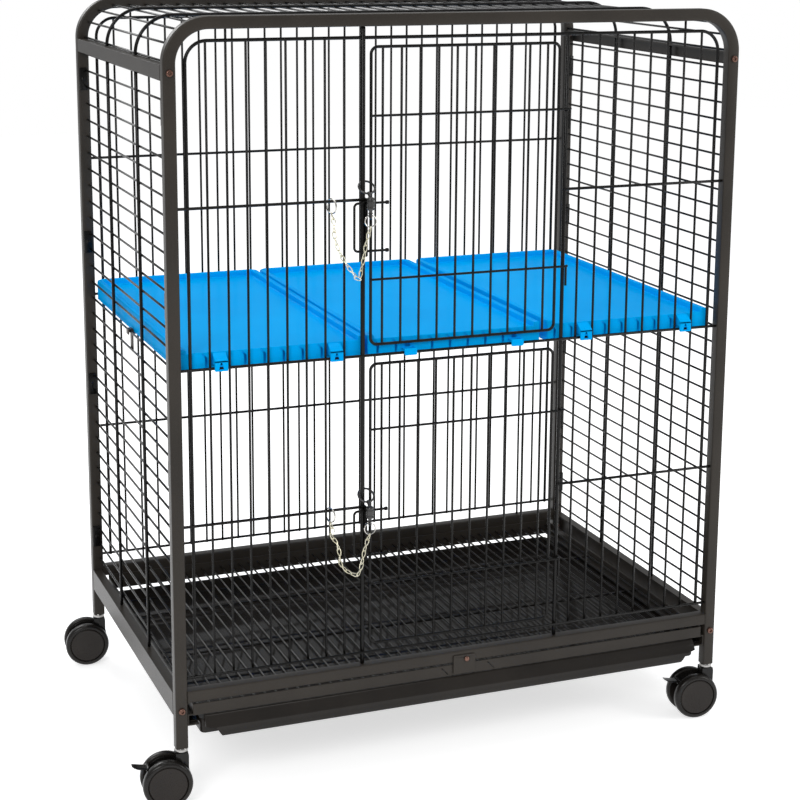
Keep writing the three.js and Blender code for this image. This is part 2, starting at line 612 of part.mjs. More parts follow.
// ---------------------------------------------------------------- runners, floor grate, tray
const RUNNER_Z = [105.4, 121];
const RUNNER_T = 1.6;
const RUNNER_TIP = LEG_IN - 15.5;
for (const [side, sx] of [['left', -1], ['right', 1]]) {
  const web = LEG_IN - CLEAR;
  const tip = RUNNER_TIP;
  const outline = [[web, RUNNER_Z[0]], [web, RUNNER_Z[1]], [tip, RUNNER_Z[1]], [tip, RUNNER_Z[1] - RUNNER_T],
    [web - RUNNER_T, RUNNER_Z[1] - RUNNER_T], [web - RUNNER_T, RUNNER_Z[0] + RUNNER_T],
    [tip, RUNNER_Z[0] + RUNNER_T], [tip, RUNNER_Z[0]]];
  const pts = outline.map(([x, z]) => [sx * x, z]);
  addPart(`${side}_runner`, plateXZ(pts, -PLANE_Y - 5.6, PLANE_Y - 10), colours.frame, 0.5, 0.6);
}

const GRATE_X = LEG_IN - 6.9;
const GRATE_Y = [-PLANE_Y - TUBE / 2, PLANE_Y - 9];
const GRATE_Z = [121.4, 135.2];
const GRATE_STEP = 30.48;
{
  const t = 2;
  const [y0, y1] = GRATE_Y;
  const top = GRATE_Z[1];
  const parts = [
    box(-GRATE_X, GRATE_X, y0, y0 + t, GRATE_Z[0] - 1.6, top),
    box(-GRATE_X, GRATE_X, y1 - t, y1, GRATE_Z[0], top),
    box(-GRATE_X + 0.3, -GRATE_X + t, y0 + 0.5, y1 - 0.5, GRATE_Z[0] + 0.2, top - 0.3),
    box(GRATE_X - t, GRATE_X - 0.3, y0 + 0.5, y1 - 0.5, GRATE_Z[0] + 0.2, top - 0.3),
  ];
  const zWire = 131;
  const half = Math.floor(GRATE_X / GRATE_STEP);
  for (let i = -half; i <= half; i += 1) {
    const x = i * GRATE_STEP;
    parts.push(wire(v(x, y0 + t / 2, zWire), v(x, y1 - t / 2, zWire), 1.5, v(0, 0, -1)));
  }
  parts.push(bar(v(-GRATE_X + t / 2, -76, zWire - 3), v(GRATE_X - t / 2, -76, zWire - 3), 2));
  let grate = join(parts);
  for (const xs of [-27, 41]) {
    grate = grate.subtract(plateXZ([[xs, 132], [xs - 1.8, 132], [xs + 8.6, 120.8], [xs + 10.4, 120.8]],
      y0 - 2, y0 + t + 0.5));
  }
  addPart('floor_grate', grate, colours.wire);
}

const TRAY_X = LEG_IN - 16.9;  // outer face of the tray's side walls
const TRAY_FLOOR = 92;
const TRAY_T = 1.6;
{
  const yFront = -PLANE_Y - TUBE / 2 + 1;
  const yRear = PLANE_Y - 12;
  const rimZ = RUNNER_Z[0] + RUNNER_T + CLEAR;
  const rimX = LEG_IN - CLEAR - RUNNER_T - 0.8;
  const wallTop = 112;
  let tray = box(-TRAY_X, TRAY_X, yFront, yRear, TRAY_FLOOR, wallTop);
  tray = tray.subtract(box(-TRAY_X + TRAY_T, TRAY_X - TRAY_T, yFront + TRAY_T, yRear - TRAY_T,
    TRAY_FLOOR + TRAY_T, wallTop + 5));
  const parts = [tray];
  for (const sx of [-1, 1]) {
    const xs = [sx * (TRAY_X - 0.8), sx * rimX].sort((a, b) => a - b);
    parts.push(box(xs[0], xs[1], yFront + 9, yRear - 1, rimZ, rimZ + TRAY_T));
  }
  // pull lip: the front wall turned out and down, seen from the left side
  const y = yFront;
  const lip = [[y + 1.2, 104], [y + 1.2, 118.6], [y - 1.5, 118.6], [y - 6.5, 113.6], [y - 10.8, 106],
    [y - 12, 98], [y - 10.6, 90.2], [y - 9, 90.2], [y - 10.2, 98], [y - 9.2, 105.4], [y - 5.4, 112.2],
    [y - 0.9, 116.6], [y - 0.4, 116.6], [y - 0.4, 104]];
  const lipX = TRAY_X - 4;
  let front = plateYZ(lip, -lipX, lipX);
  for (const sx of [-1, 1]) {
    const cut = [[lipX - 24.6, 86], [lipX - 17.6, 96], [lipX - 14.1, 104.2], [lipX + 11, 104.2],
      [lipX + 11, 86]].map(([x, z]) => [sx * x, z]);
    front = front.subtract(plateXZ(cut, y - 20, y - 2));
  }
  parts.push(front);
  addPart('tray', join(parts), colours.tray, 0.5, 0.6);
}

// turn button on the front rail, over the front band of the grate
const BUTTON = { x: 7.8, z: 142.2 };
{
  const face = -PLANE_Y - TUBE / 2 - CLEAR;
  const shape = [[-11.5, 121.9], [19.5, 121.9], [21, 123.4], [21, 148.4], [-11.5, 148.4]];
  let plate = plateXZ(shape, face - 2, face);
  plate = plate.subtract(rod(v(BUTTON.x, face - 5, BUTTON.z), v(BUTTON.x, face + 3, BUTTON.z), 2.4, 8));
  addPart('turn_button', plate, colours.frame);
  let pin = rod(v(BUTTON.x, face - 5, BUTTON.z), v(BUTTON.x, face - 2 - CLEAR, BUTTON.z), 3.8, 10);
  pin = pin.add(rod(v(BUTTON.x, face - 3, BUTTON.z), v(BUTTON.x, face + 0.2, BUTTON.z), 2, 8));
  pin = pin.subtract(box(BUTTON.x - 2.6, BUTTON.x + 2.6, face - 6, face - 4, BUTTON.z - 0.5, BUTTON.z + 0.5));
  addPart('turn_button_screw', pin, colours.screw, 0.8, 0.4);
}

// ---------------------------------------------------------------- castors
const WHEEL_R = 32.5;
const TRAIL = 20;
const YAW = -6 * Math.PI / 180;      // resting angle of the castors round their stems
const FORK_HALF = 8.6;
const WHEEL_IN = 9.2;
const WHEEL_OUT = 21;
const STEM_R = 5;
const AXLE_R = 3;
const LEVER = { x: -TRAIL - 23.4, z: WHEEL_R + 19.5 };

// both wheels and the axle between them, turned about the Y axis
const WHEEL_SIDES = 16;
function wheelPair() {
  const one = [[24, -WHEEL_OUT], [26, -WHEEL_OUT + 1.4], [28.6, -WHEEL_OUT + 0.8], [WHEEL_R, -WHEEL_OUT + 4],
    [WHEEL_R, -WHEEL_IN - 2], [WHEEL_R - 2.5, -WHEEL_IN], [AXLE_R, -WHEEL_IN]];
  const other = one.map(([r, s]) => [r, -s]).reverse();
  const profile = [[0, -WHEEL_OUT], ...one, ...other, [0, WHEEL_OUT]];
  const grow = 1 / Math.cos(Math.PI / WHEEL_SIDES);      // the flats then lie at the wheel's true radius
  return solid(new THREE.LatheGeometry(profile.map(([r, s]) => new THREE.Vector2(r * grow, s)), WHEEL_SIDES));
}

const CASTERS = [
  { name: 'front_left', x: -(HALF_W - TUBE / 2), y: -PLANE_Y, brake: true },
  { name: 'front_right', x: HALF_W - TUBE / 2, y: -PLANE_Y, brake: true },
  { name: 'rear_left', x: -(HALF_W - TUBE / 2), y: PLANE_Y, brake: false },
  { name: 'rear_right', x: HALF_W - TUBE / 2, y: PLANE_Y, brake: false },
];

for (const c of CASTERS) {
  // built round the stem at the origin with the wheels trailing towards -X, then yawed and placed
  const place = (m) => m.rotate([0, 0, YAW * 180 / Math.PI]).translate([c.x, c.y, 0]);

  const stem = join([
    rod(v(0, 0, 70.6), v(0, 0, LEG_Z - CLEAR), 8.6, 12),
    rod(v(0, 0, 56), v(0, 0, 108), STEM_R, 8),
  ]);
  addPart(`${c.name}_stem`, place(stem), colours.chrome, 0.95, 0.2);

  const arch = [];
  const archR = 29;
  for (let k = 0; k <= 5; k += 1) {
    const a = (66 + (132 - 66) * k / 5) * Math.PI / 180;
    arch.push([-TRAIL + archR * Math.cos(a), WHEEL_R + archR * Math.sin(a)]);
  }
  const outline = [[-TRAIL - 9, WHEEL_R - 7], [-TRAIL + 6, WHEEL_R - 9], [8.4, WHEEL_R + 2], [8.8, 70.2],
    [-8, 70.2], ...arch];
  let housing = plateXZ(outline, -FORK_HALF, FORK_HALF);
  housing = housing.subtract(rod(v(0, 0, 54.5), v(0, 0, 80), STEM_R + 0.4, 8));
  housing = housing.subtract(rod(v(-TRAIL, -20, WHEEL_R), v(-TRAIL, 20, WHEEL_R), 3.6, 8));
  addPart(`${c.name}_housing`, place(housing), colours.plastic, 0.1, 0.45);

  const wheels = wheelPair().rotate([0, 180 / WHEEL_SIDES, 0]).translate([-TRAIL, 0, WHEEL_R]);
  addPart(`${c.name}_wheels`, place(wheels), colours.plastic, 0.05, 0.5);

  if (c.brake) {
    const [lx, lz] = [LEVER.x, LEVER.z];
    const lever = join([
      rod(v(lx, -FORK_HALF, lz), v(lx, FORK_HALF, lz), 3.2, 8),
      plateXZ([[lx - 1, lz - 1.6], [lx - 14, lz - 0.6], [lx - 21, lz + 3.4], [lx - 21.6, lz + 6],
        [lx - 14, lz + 3.4], [lx - 1, lz + 2.4]], -7.6, 7.6),
    ]);
    addPart(`${c.name}_brake`, place(lever), colours.plastic, 0.1, 0.45);
  }
}

// origin in the middle of the outline, on the floor
const outline = new THREE.Box3().setFromObject(group);
const middle = outline.getCenter(v(0, 0, 0));
for (const mesh of group.children) {
  mesh.geometry.translate(-middle.x, -middle.y, -outline.min.z);
}

export default group;
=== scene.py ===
"""Two-door wire ferret cage on castors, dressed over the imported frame.

Pieces are drawn in millimetres from the middle of the cage frame, as the CAD source does, and moved
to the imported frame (metres, origin in the middle of the whole outline) when their mesh is made.
"""
import math
import random

import bmesh
import bpy
from mathutils import Matrix, Vector
from mathutils.geometry import tessellate_polygon


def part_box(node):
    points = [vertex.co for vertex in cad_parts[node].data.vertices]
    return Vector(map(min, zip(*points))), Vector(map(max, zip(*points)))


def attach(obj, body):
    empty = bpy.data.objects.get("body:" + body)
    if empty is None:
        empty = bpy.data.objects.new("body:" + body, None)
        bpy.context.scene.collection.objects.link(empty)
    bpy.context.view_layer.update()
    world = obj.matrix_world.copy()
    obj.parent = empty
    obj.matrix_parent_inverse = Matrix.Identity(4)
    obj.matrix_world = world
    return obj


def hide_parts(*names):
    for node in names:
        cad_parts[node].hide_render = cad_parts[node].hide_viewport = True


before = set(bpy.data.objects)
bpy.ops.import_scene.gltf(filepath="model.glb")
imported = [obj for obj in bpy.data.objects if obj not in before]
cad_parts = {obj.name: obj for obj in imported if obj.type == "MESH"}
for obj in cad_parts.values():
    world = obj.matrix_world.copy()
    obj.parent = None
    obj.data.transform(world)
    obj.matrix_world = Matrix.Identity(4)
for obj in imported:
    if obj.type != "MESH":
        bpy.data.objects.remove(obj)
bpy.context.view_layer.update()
scene = bpy.context.scene
rng = random.Random(7)

# ---------------------------------------------------------------- sizes of the cage, in mm
hoop_low, hoop_high = (1000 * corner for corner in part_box("front_hoop"))
rear_high = 1000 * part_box("rear_hoop")[1]
SHIFT = Vector(((hoop_low.x + hoop_high.x) / 2, (hoop_low.y + rear_high.y) / 2, 0))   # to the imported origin
TUBE = round(hoop_high.y - hoop_low.y, 2)
HALF_W = round((hoop_high.x - hoop_low.x) / 2, 2)
PLANE_Y = round((rear_high.y - hoop_low.y - TUBE) / 2, 2)       # middle of the rear hoop
FRONT = -PLANE_Y                                                # middle of the front hoop
LEG_Z, HOOP_TOP = round(hoop_low.z, 2), round(hoop_high.z, 2)
TUBE_WALL, BEND_R, GAP = 1.4, 50.0, 0.3
LEG_X, LEG_IN = HALF_W - TUBE / 2, HALF_W - TUBE                # a leg's middle and its inner face
BAR_Z, BAR_UNDER = HOOP_TOP - TUBE / 2, HOOP_TOP - TUBE         # the same for a hoop's top bar
RAIL_Z = 137.5
RAIL_TOP, RAIL_END = RAIL_Z + TUBE, LEG_IN - GAP

PITCH, COLS, LEVEL_STEP = 25.4, 29, 8
PANEL_Z, PANEL_TOP, PANEL_FOOT = 170.2, 983.0, 169.0
BORDER_X, BORDER_R, BORDER_BEND = PITCH * COLS / 2, 2.2, 27.0
UPRIGHT_R, LEVEL_R, LEVEL_OFF = 1.6, 1.9, 3.0
POST_X, POST_R, HINGE_X, HINGE_R = -140.0, 3.0, 143.5, 2.6


def V(x, y, z):
    return Vector((x, y, z))


def column(i):
    """Where upright i of a panel stands, from the left."""
    return (i - COLS / 2) * PITCH


def level(k):
    """Height of level wire k of a panel, from the bottom."""
    return PANEL_Z + k * LEVEL_STEP * PITCH


# ---------------------------------------------------------------- meshes
def circle(r, n=10):
    return [(r * math.cos(2 * math.pi * k / n), r * math.sin(2 * math.pi * k / n)) for k in range(n)]


def round_rect(w, h, r, n=4):
    pts = []
    for q, (cx, cy) in enumerate([(1, 1), (-1, 1), (-1, -1), (1, -1)]):
        for k in range(n + 1):
            a = (q + k / n) * math.pi / 2
            pts.append((cx * (w / 2 - r) + r * math.cos(a), cy * (h / 2 - r) + r * math.sin(a)))
    return pts


def fillet(corners, r, n=8):
    """The polyline through corners with its inner corners rounded to radius r."""
    pts = [corners[0].copy()]
    for i in range(1, len(corners) - 1):
        a = (corners[i] - corners[i - 1]).normalized()
        b = (corners[i + 1] - corners[i]).normalized()
        turn = a.angle(b)
        start = corners[i] - a * r * math.tan(turn / 2)
        side = (b - a * a.dot(b)).normalized()
        for k in range(n + 1):
            t = turn * k / n
            pts.append(start + a * r * math.sin(t) + side * r * (1 - math.cos(t)))
    pts.append(corners[-1].copy())
    return pts


def smooth_line(points, n=6):
    """Catmull-Rom through the points."""
    out = []
    for i in range(len(points) - 1):
        p0, p1, p2 = points[max(i - 1, 0)], points[i], points[i + 1]
        p3 = points[min(i + 2, len(points) - 1)]
        for k in range(n):
            t = k / n
            out.append(0.5 * ((2 * p1) + (p2 - p0) * t + (2 * p0 - 5 * p1 + 4 * p2 - p3) * t * t
                              + (3 * p1 - p0 - 3 * p2 + p3) * t ** 3))
    out.append(points[-1].copy())
    return out


class Shape:
    """Vertices in mm and faces of one piece."""

    def __init__(self):
        self.verts, self.faces = [], []

    def add(self, verts, faces):
        base = len(self.verts)
        self.verts += [Vector(p) for p in verts]
        self.faces += [tuple(base + i for i in face) for face in faces]

    def rings(self, rings, closed=False, caps=True):
        n = len(rings[0])
        verts = [p for ring in rings for p in ring]
        faces = []
        count = len(rings) if closed else len(rings) - 1
        for i in range(count):
            a, b = i * n, (i + 1) % len(rings) * n
            for k in range(n):
                m = (k + 1) % n
                faces.append((a + k, a + m, b + m, b + k))
        if caps and not closed:
            last = (len(rings) - 1) * n
            faces += [tuple(reversed(t)) for t in tessellate_polygon([list(rings[0])])]
            faces += [tuple(last + k for k in t) for t in tessellate_polygon([list(rings[-1])])]
        self.add(verts, faces)

    def sweep(self, path, section, up=None, closed=False, caps=True, scale=None):
        """A section carried along a path; up is the way that its first axis points."""
        count = len(path)
        tangents = []
        for i in range(count):
            if closed:
                tangents.append((path[(i + 1) % count] - path[i - 1]).normalized())
            else:
                tangents.append((path[min(i + 1, count - 1)] - path[max(i - 1, 0)]).normalized())
        normal = Vector(up) if up is not None else tangents[0].orthogonal()
        rings = []
        for i, t in enumerate(tangents):
            normal = (normal - t * t.dot(normal)).normalized()
            other = t.cross(normal)
            s = scale[i] if scale else 1.0
            rings.append([path[i] + normal * u * s + other * w * s for u, w in section])
        self.rings(rings, closed, caps)

    def wire(self, a, b, r, n=10):
        """A straight wire with softly cut ends."""
        cut = (b - a).normalized() * 0.35 * r
        self.sweep([a, a + cut, b - cut, b], circle(r, n), scale=[0.72, 1, 1, 0.72])

    def torus(self, centre, axis, radius, r, steps, n):
        """A closed ring of round wire."""
        axis = Vector(axis).normalized()
        u = axis.orthogonal().normalized()
        w = axis.cross(u)
        path = [centre + u * c + w * s for c, s in circle(radius, steps)]
        self.sweep(path, circle(r, n), up=axis, closed=True)

    def bead(self, centre, rx, ry, rz, n=8, m=4):
        """A small blob of weld."""
        rings = []
        for i in range(1, m):
            a = math.pi * i / m - math.pi / 2
            rings.append([centre + V(rx * math.cos(a) * math.cos(2 * math.pi * k / n),
                                     ry * math.cos(a) * math.sin(2 * math.pi * k / n), rz * math.sin(a))
                          for k in range(n)])
        self.rings(rings)

    def lathe(self, profile, origin, axis, n=32):
        """Profile of (radius, distance along the axis) turned about the axis."""
        axis = Vector(axis).normalized()
        u = axis.orthogonal().normalized()
        w = axis.cross(u)
        self.rings([[origin + axis * s + (u * c + w * t) * r for c, t in circle(1.0, n)] for r, s in profile])

    def box(self, x0, x1, y0, y1, z0, z1, bevel=0.4, segments=2):
        """A block between two corners with rounded edges."""
        bm = bmesh.new()
        bmesh.ops.create_cube(bm, size=1.0)
        for p in bm.verts:
            p.co = V((x0 + x1) / 2 + p.co.x * (x1 - x0), (y0 + y1) / 2 + p.co.y * (y1 - y0),
                     (z0 + z1) / 2 + p.co.z * (z1 - z0))
        if bevel > 0:
            bmesh.ops.bevel(bm, geom=bm.edges[:], offset=bevel, segments=segments, affect="EDGES",
                            profile=0.5, clamp_overlap=True)
        bm.verts.index_update()
        self.add([p.co.copy() for p in bm.verts], [[p.index for p in f.verts] for f in bm.faces])
        bm.free()

    def plate(self, outer, holes, place, d0, d1):
        """A flat outline with holes, from depth d0 to d1; place(u, v, d) gives the point."""
        loops = [outer] + list(holes)
        flat = [Vector((u, w, 0)) for loop in loops for u, w in loop]
        n = len(flat)
        tris = tessellate_polygon([[Vector((u, w, 0)) for u, w in loop] for loop in loops])
        verts = [place(p.x, p.y, d0) for p in flat] + [place(p.x, p.y, d1) for p in flat]
        faces = [tuple(t) for t in tris] + [tuple(n + i for i in reversed(t)) for t in tris]
        base = 0
        for loop in loops:
            m = len(loop)
            for k in range(m):
                a, b = base + k, base + (k + 1) % m
                faces.append((a, b, n + b, n + a))
            base += m
        self.add(verts, faces)

    def transform(self, matrix):
        self.verts = [matrix @ p for p in self.verts]


def xz(u, w, d):
    """Point of a plate that faces front or back."""
    return V(u, d, w)


def yz(u, w, d):
    """Point of a plate that faces left or right."""
    return V(d, u, w)


def piece(name, shape, body, nodes, material, bevel=0.0, sharp=40):
    """The object made of a shape, riding on its body in place of its CAD nodes."""
    mesh = bpy.data.meshes.new(name)
    mesh.from_pydata([(p + SHIFT) / 1000 for p in shape.verts], [], shape.faces)
    bm = bmesh.new()
    bm.from_mesh(mesh)
    bmesh.ops.recalc_face_normals(bm, faces=bm.faces)
    bm.to_mesh(mesh)
    bm.free()
    mesh.shade_smooth()
    mesh.set_sharp_from_angle(angle=math.radians(sharp))
    obj = bpy.data.objects.new(name, mesh)
    scene.collection.objects.link(obj)
    mesh.materials.append(material)
    if bevel > 0:
        soften(obj, bevel)
    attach(obj, body)
    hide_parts(*nodes)


def soften(obj, width):
    """Rounded edges, width in mm."""
    mod = obj.modifiers.new("edges", "BEVEL")
    mod.width = width / 1000
    mod.segments = 2
    mod.limit_method = "ANGLE"
    mod.angle_limit = math.radians(38)
    mod.harden_normals = True


def dress(node, material, width=0.0):
    """Finish on a CAD node that keeps its own mesh."""
    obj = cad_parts[node]
    for s in obj.material_slots:
        s.material = material
    if not obj.material_slots:
        obj.data.materials.append(material)
    if width > 0:
        weld = obj.modifiers.new("weld", "WELD")
        weld.merge_threshold = 0.00001
        soften(obj, width)


# ---------------------------------------------------------------- finishes
def finish(name, dark, light, rough, metal=0.0, coat=0.0, coat_rough=0.1, grain=900.0, bump=0.08, broad=9.0,
           spread=0.07, speck=None, spec=0.5):
    """Colour from a broad noise, roughness and relief from a fine one; speck is (r, g, b, amount, scale)."""
    m = bpy.data.materials.new(name)
    m.use_nodes = True
    nodes, links = m.node_tree.nodes, m.node_tree.links
    shader = nodes["Principled BSDF"]
    shader.inputs["Metallic"].default_value = metal
    shader.inputs["Coat Weight"].default_value = coat
    shader.inputs["Coat Roughness"].default_value = coat_rough
    shader.inputs["Specular IOR Level"].default_value = spec
    where = nodes.new("ShaderNodeTexCoord")

    def noise(scale, detail):
        n = nodes.new("ShaderNodeTexNoise")
        n.inputs["Scale"].default_value = scale
        n.inputs["Detail"].default_value = detail
        links.new(where.outputs["Object"], n.inputs["Vector"])
        return n

    wide, fine = noise(broad, 4.0), noise(grain, 2.0)
    ramp = nodes.new("ShaderNodeValToRGB")
    ramp.color_ramp.elements[0].position = 0.3
    ramp.color_ramp.elements[1].position = 0.72
    ramp.color_ramp.elements[0].color = (*dark, 1)
    ramp.color_ramp.elements[1].color = (*light, 1)
    links.new(wide.outputs["Fac"], ramp.inputs["Fac"])
    colour = ramp.outputs["Color"]
    if speck:
        spots = nodes.new("ShaderNodeMix")
        spots.data_type = "RGBA"
        pick = nodes.new("ShaderNodeMapRange")
        pick.inputs["From Min"].default_value = 0.56
        pick.inputs["From Max"].default_value = 0.7
        pick.inputs["To Max"].default_value = speck[3]
        links.new(noise(speck[4], 1.0).outputs["Fac"], pick.inputs["Value"])
        links.new(pick.outputs["Result"], spots.inputs["Factor"])
        links.new(colour, spots.inputs["A"])
        spots.inputs["B"].default_value = (*speck[:3], 1)
        colour = spots.outputs["Result"]
    links.new(colour, shader.inputs["Base Color"])
    vary = nodes.new("ShaderNodeMapRange")
    vary.inputs["From Min"].default_value = 0.3
    vary.inputs["From Max"].default_value = 0.7
    vary.inputs["To Min"].default_value = max(rough - spread, 0.02)
    vary.inputs["To Max"].default_value = rough + spread
    links.new(fine.outputs["Fac"], vary.inputs["Value"])
    links.new(vary.outputs["Result"], shader.inputs["Roughness"])
    relief = nodes.new("ShaderNodeBump")
    relief.inputs["Strength"].default_value = bump
    relief.inputs["Distance"].default_value = 0.0004
    links.new(fine.outputs["Fac"], relief.inputs["Height"])
    links.new(relief.outputs["Normal"], shader.inputs["Normal"])
    return m


FRAME_PAINT = finish("frame_paint", (0.022, 0.0182, 0.0145), (0.036, 0.0300, 0.0240), 0.36, coat=0.05,
                     coat_rough=0.24, grain=1500, bump=0.12, spec=0.20, speck=(0.07, 0.062, 0.054, 0.4, 2600))
WIRE_PAINT = finish("wire_paint", (0.0026, 0.0024, 0.0022), (0.006, 0.0054, 0.0048), 0.26, coat=0.04,
                    coat_rough=0.16, grain=1100, bump=0.10, spec=0.17)
SCREW_STEEL = finish("screw_steel", (0.11, 0.055, 0.04), (0.20, 0.11, 0.085), 0.32, metal=0.85, grain=700)
HOOK_BLACK = finish("snap_hook_black", (0.006, 0.006, 0.006), (0.014, 0.013, 0.012), 0.28, coat=0.4,
                    grain=500)
RING_CHROME = finish("ring_chrome", (0.50, 0.48, 0.45), (0.70, 0.68, 0.64), 0.16, metal=1.0, grain=300,
                     bump=0.04)
CHAIN_STEEL = finish("chain_steel", (0.62, 0.58, 0.42), (0.88, 0.84, 0.68), 0.24, metal=0.8, grain=400,
                     bump=0.06, broad=60)
SHELF_BLUE = finish("shelf_blue", (0.000, 0.355, 0.860), (0.000, 0.415, 0.940), 0.34, coat=0.03,
                    coat_rough=0.08, grain=650, bump=0.04, broad=5, spread=0.05, spec=0.004)
BRACKET_PAINT = finish("bracket_paint", (0.016, 0.010, 0.008), (0.034, 0.022, 0.016), 0.45, metal=0.2)
TRAY_PAINT = finish("tray_paint", (0.011, 0.0092, 0.0078), (0.022, 0.0182, 0.0150), 0.30, coat=0.36,
                    coat_rough=0.05, grain=1300, bump=0.08, spec=0.03, speck=(0.05, 0.045, 0.04, 0.3, 2400))
GRATE_PAINT = finish("grate_paint", (0.006, 0.0052, 0.0045), (0.014, 0.0122, 0.0105), 0.30, coat=0.04,
                     coat_rough=0.16, grain=1000, bump=0.10, spec=0.22)
STEM_CHROME = finish("stem_chrome", (0.30, 0.29, 0.28), (0.46, 0.45, 0.44), 0.16, metal=1.0, grain=250,
                     bump=0.03)
CASTOR_BLACK = finish("castor_black", (0.004, 0.0036, 0.0033), (0.009, 0.0078, 0.007), 0.24, coat=0.08,
                      grain=800, bump=0.08, broad=30, spec=0.25)
WHEEL_BLACK = finish("wheel_black", (0.007, 0.006, 0.0052), (0.015, 0.0126, 0.0106), 0.28, coat=0.06,
                     grain=700, bump=0.08, broad=22, spec=0.25)
HUB_BROWN = finish("hub_brown", (0.015, 0.0117, 0.0096), (0.023, 0.0182, 0.0150), 0.30, coat=0.06, grain=900,
                   bump=0.05, broad=26, spec=0.22)

# ---------------------------------------------------------------- frame hoops and rails
SCREW_Z = (128.0, 945.5)

for name, y in (("front_hoop", FRONT), ("rear_hoop", PLANE_Y)):
    corners = [V(-LEG_X, y, LEG_Z), V(-LEG_X, y, BAR_Z), V(LEG_X, y, BAR_Z), V(LEG_X, y, LEG_Z)]
    path = fillet(corners, BEND_R, 24)
    hoop = Shape()
    outer = round_rect(TUBE, TUBE, 2.3, 5)
    inner = round_rect(TUBE - 2 * TUBE_WALL, TUBE - 2 * TUBE_WALL, 1.1, 5)
    hoop.sweep(path, outer, up=(0, 1, 0), caps=False)
    for foot in (path[0], path[-1]):        # the tube's open ends
        rings = [[foot + V(w, u, 0) for u, w in section] for section in (outer, inner)]
        rings.append([p + V(0, 0, 40) for p in rings[1]])
        hoop.rings(rings, caps=False)
    piece(name + "_tube", hoop, "cage", [name], FRAME_PAINT, sharp=50)

for name, sy in (("front", -1), ("rear", 1)):
    rail = Shape()
    z = RAIL_Z + TUBE / 2
    rail.sweep([V(-RAIL_END, sy * PLANE_Y, z), V(RAIL_END, sy * PLANE_Y, z)], round_rect(TUBE, TUBE, 2.0, 4),
               up=(0, 1, 0))
    for sx in (-1, 1):                      # weld runs where the rail meets the leg
        for off in (-7.6, 7.6):
            for k in range(11):
                at = V(sx * (RAIL_END - 0.2), sy * (PLANE_Y + off), RAIL_Z + 0.8 + k * 1.44)
                rail.bead(at, 1.1, 1.0, 1.1, 6, 4)
    piece(name + "_rail_tube", rail, "cage", [name + "_base_rail"], FRAME_PAINT, sharp=50)

for side in ("left", "right"):
    for place in ("base", "top"):
        dress(f"{side}_{place}_rail", FRAME_PAINT, 0.5)
    dress(f"{side}_runner", FRAME_PAINT, 0.3)
dress("shelf_bracket", BRACKET_PAINT, 0.35)


def socket_screw(shape, at, out, r=4.5, height=3.4, socket=2.2, n=36):
    """Low round head with a six-sided socket; at is the middle of its seat, out its direction."""
    out = Vector(out).normalized()
    u = out.orthogonal().normalized()
    w = out.cross(u)

    def ring(radius, d, six=False):
        pts = []
        for k in range(n):
            a = 2 * math.pi * k / n
            rr = radius
            if six:
                b = (a + math.pi / 6) % (math.pi / 3) - math.pi / 6
                rr = radius * math.cos(math.pi / 6) / math.cos(b)
            pts.append(at + out * d + (u * math.cos(a) + w * math.sin(a)) * rr)
        return pts

    shape.rings([ring(r * 0.6, 0), ring(r, 0), ring(r, height * 0.35), ring(r * 0.95, height * 0.68),
                 ring(r * 0.8, height * 0.92), ring(r * 0.64, height), ring(socket * 1.18, height, True),
                 ring(socket, height - 0.3, True), ring(socket, 1.4, True)])


for end, sy in (("front", -1), ("rear", 1)):
    for side, sx in (("left", -1), ("right", 1)):
        for place, z in zip(("lower", "upper"), SCREW_Z):
            screw = Shape()
            seat = V(sx * LEG_X, sy * (PLANE_Y + TUBE / 2 + 0.1), z)
            socket_screw(screw, seat, (0, sy, 0))
            screw.lathe([(2.5, 0.2), (2.5, -TUBE - 4.6), (1.9, -TUBE - 5.4)], seat, (0, sy, 0), 16)
            node = f"{end}_{side}_{place}_screw"
            piece(node + "_head", screw, "cage", [node], SCREW_STEEL)


# ---------------------------------------------------------------- front and rear panels
def border(shape, y):
    """The thicker wire round a panel's sides and top."""
    shape.sweep(fillet([V(-BORDER_X, y, PANEL_FOOT), V(-BORDER_X, y, PANEL_TOP), V(BORDER_X, y, PANEL_TOP),
                        V(BORDER_X, y, PANEL_FOOT)], BORDER_BEND, 12), circle(BORDER_R, 12), up=(0, 1, 0))


def nub(shape, x, y, z, r=1.9):
    """The squeezed metal of a spot weld where two wires cross."""
    shape.bead(V(x, y, z), r * 1.25, r * 0.95, r * 1.05, 8, 4)


# heights of a bolt's arms and of the hook's loop, place of the split ring, and the level wire it hangs from
BOLTS = [
    dict(name="upper", top=775.6, low=714.0, hook=795.0, ring=-183.2, k=3),
    dict(name="lower", top=368.6, low=307.0, hook=388.0, ring=-185.6, k=1),
]
ARM_R, ARM_Y = 1.6, FRONT - 6.1

PEGS = (2, 14, 27)                          # uprights that run on to the hoop's bar
BESIDE = [i for i in range(1, COLS) if not 9 <= i <= 20]        # uprights beside the doorway

front = Shape()
border(front, FRONT)
for i in BESIDE:
    x = column(i)
    front.wire(V(x, FRONT, PANEL_FOOT), V(x, FRONT, BAR_UNDER - GAP if i in PEGS else PANEL_TOP), UPRIGHT_R)
spans = [(-RAIL_END, RAIL_END, 0), (-RAIL_END, RAIL_END, 2)]
for k in (1, 3):
    spans += [(-RAIL_END, POST_X, k), (HINGE_X, RAIL_END, k)]
for x0, x1, k in spans:
    front.wire(V(x0, FRONT - LEVEL_OFF, level(k)), V(x1, FRONT - LEVEL_OFF, level(k)), LEVEL_R)
    for x in [column(i) for i in BESIDE] + [-BORDER_X, BORDER_X, POST_X, HINGE_X]:
        if x0 - 1 <= x <= x1 + 1:
            nub(front, x, FRONT - 1.6, level(k))
for i in BESIDE:
    nub(front, column(i), FRONT, PANEL_TOP - 0.6, 1.7)
front.wire(V(POST_X, FRONT, RAIL_TOP + GAP), V(POST_X, FRONT, BAR_UNDER - GAP), POST_R, 14)
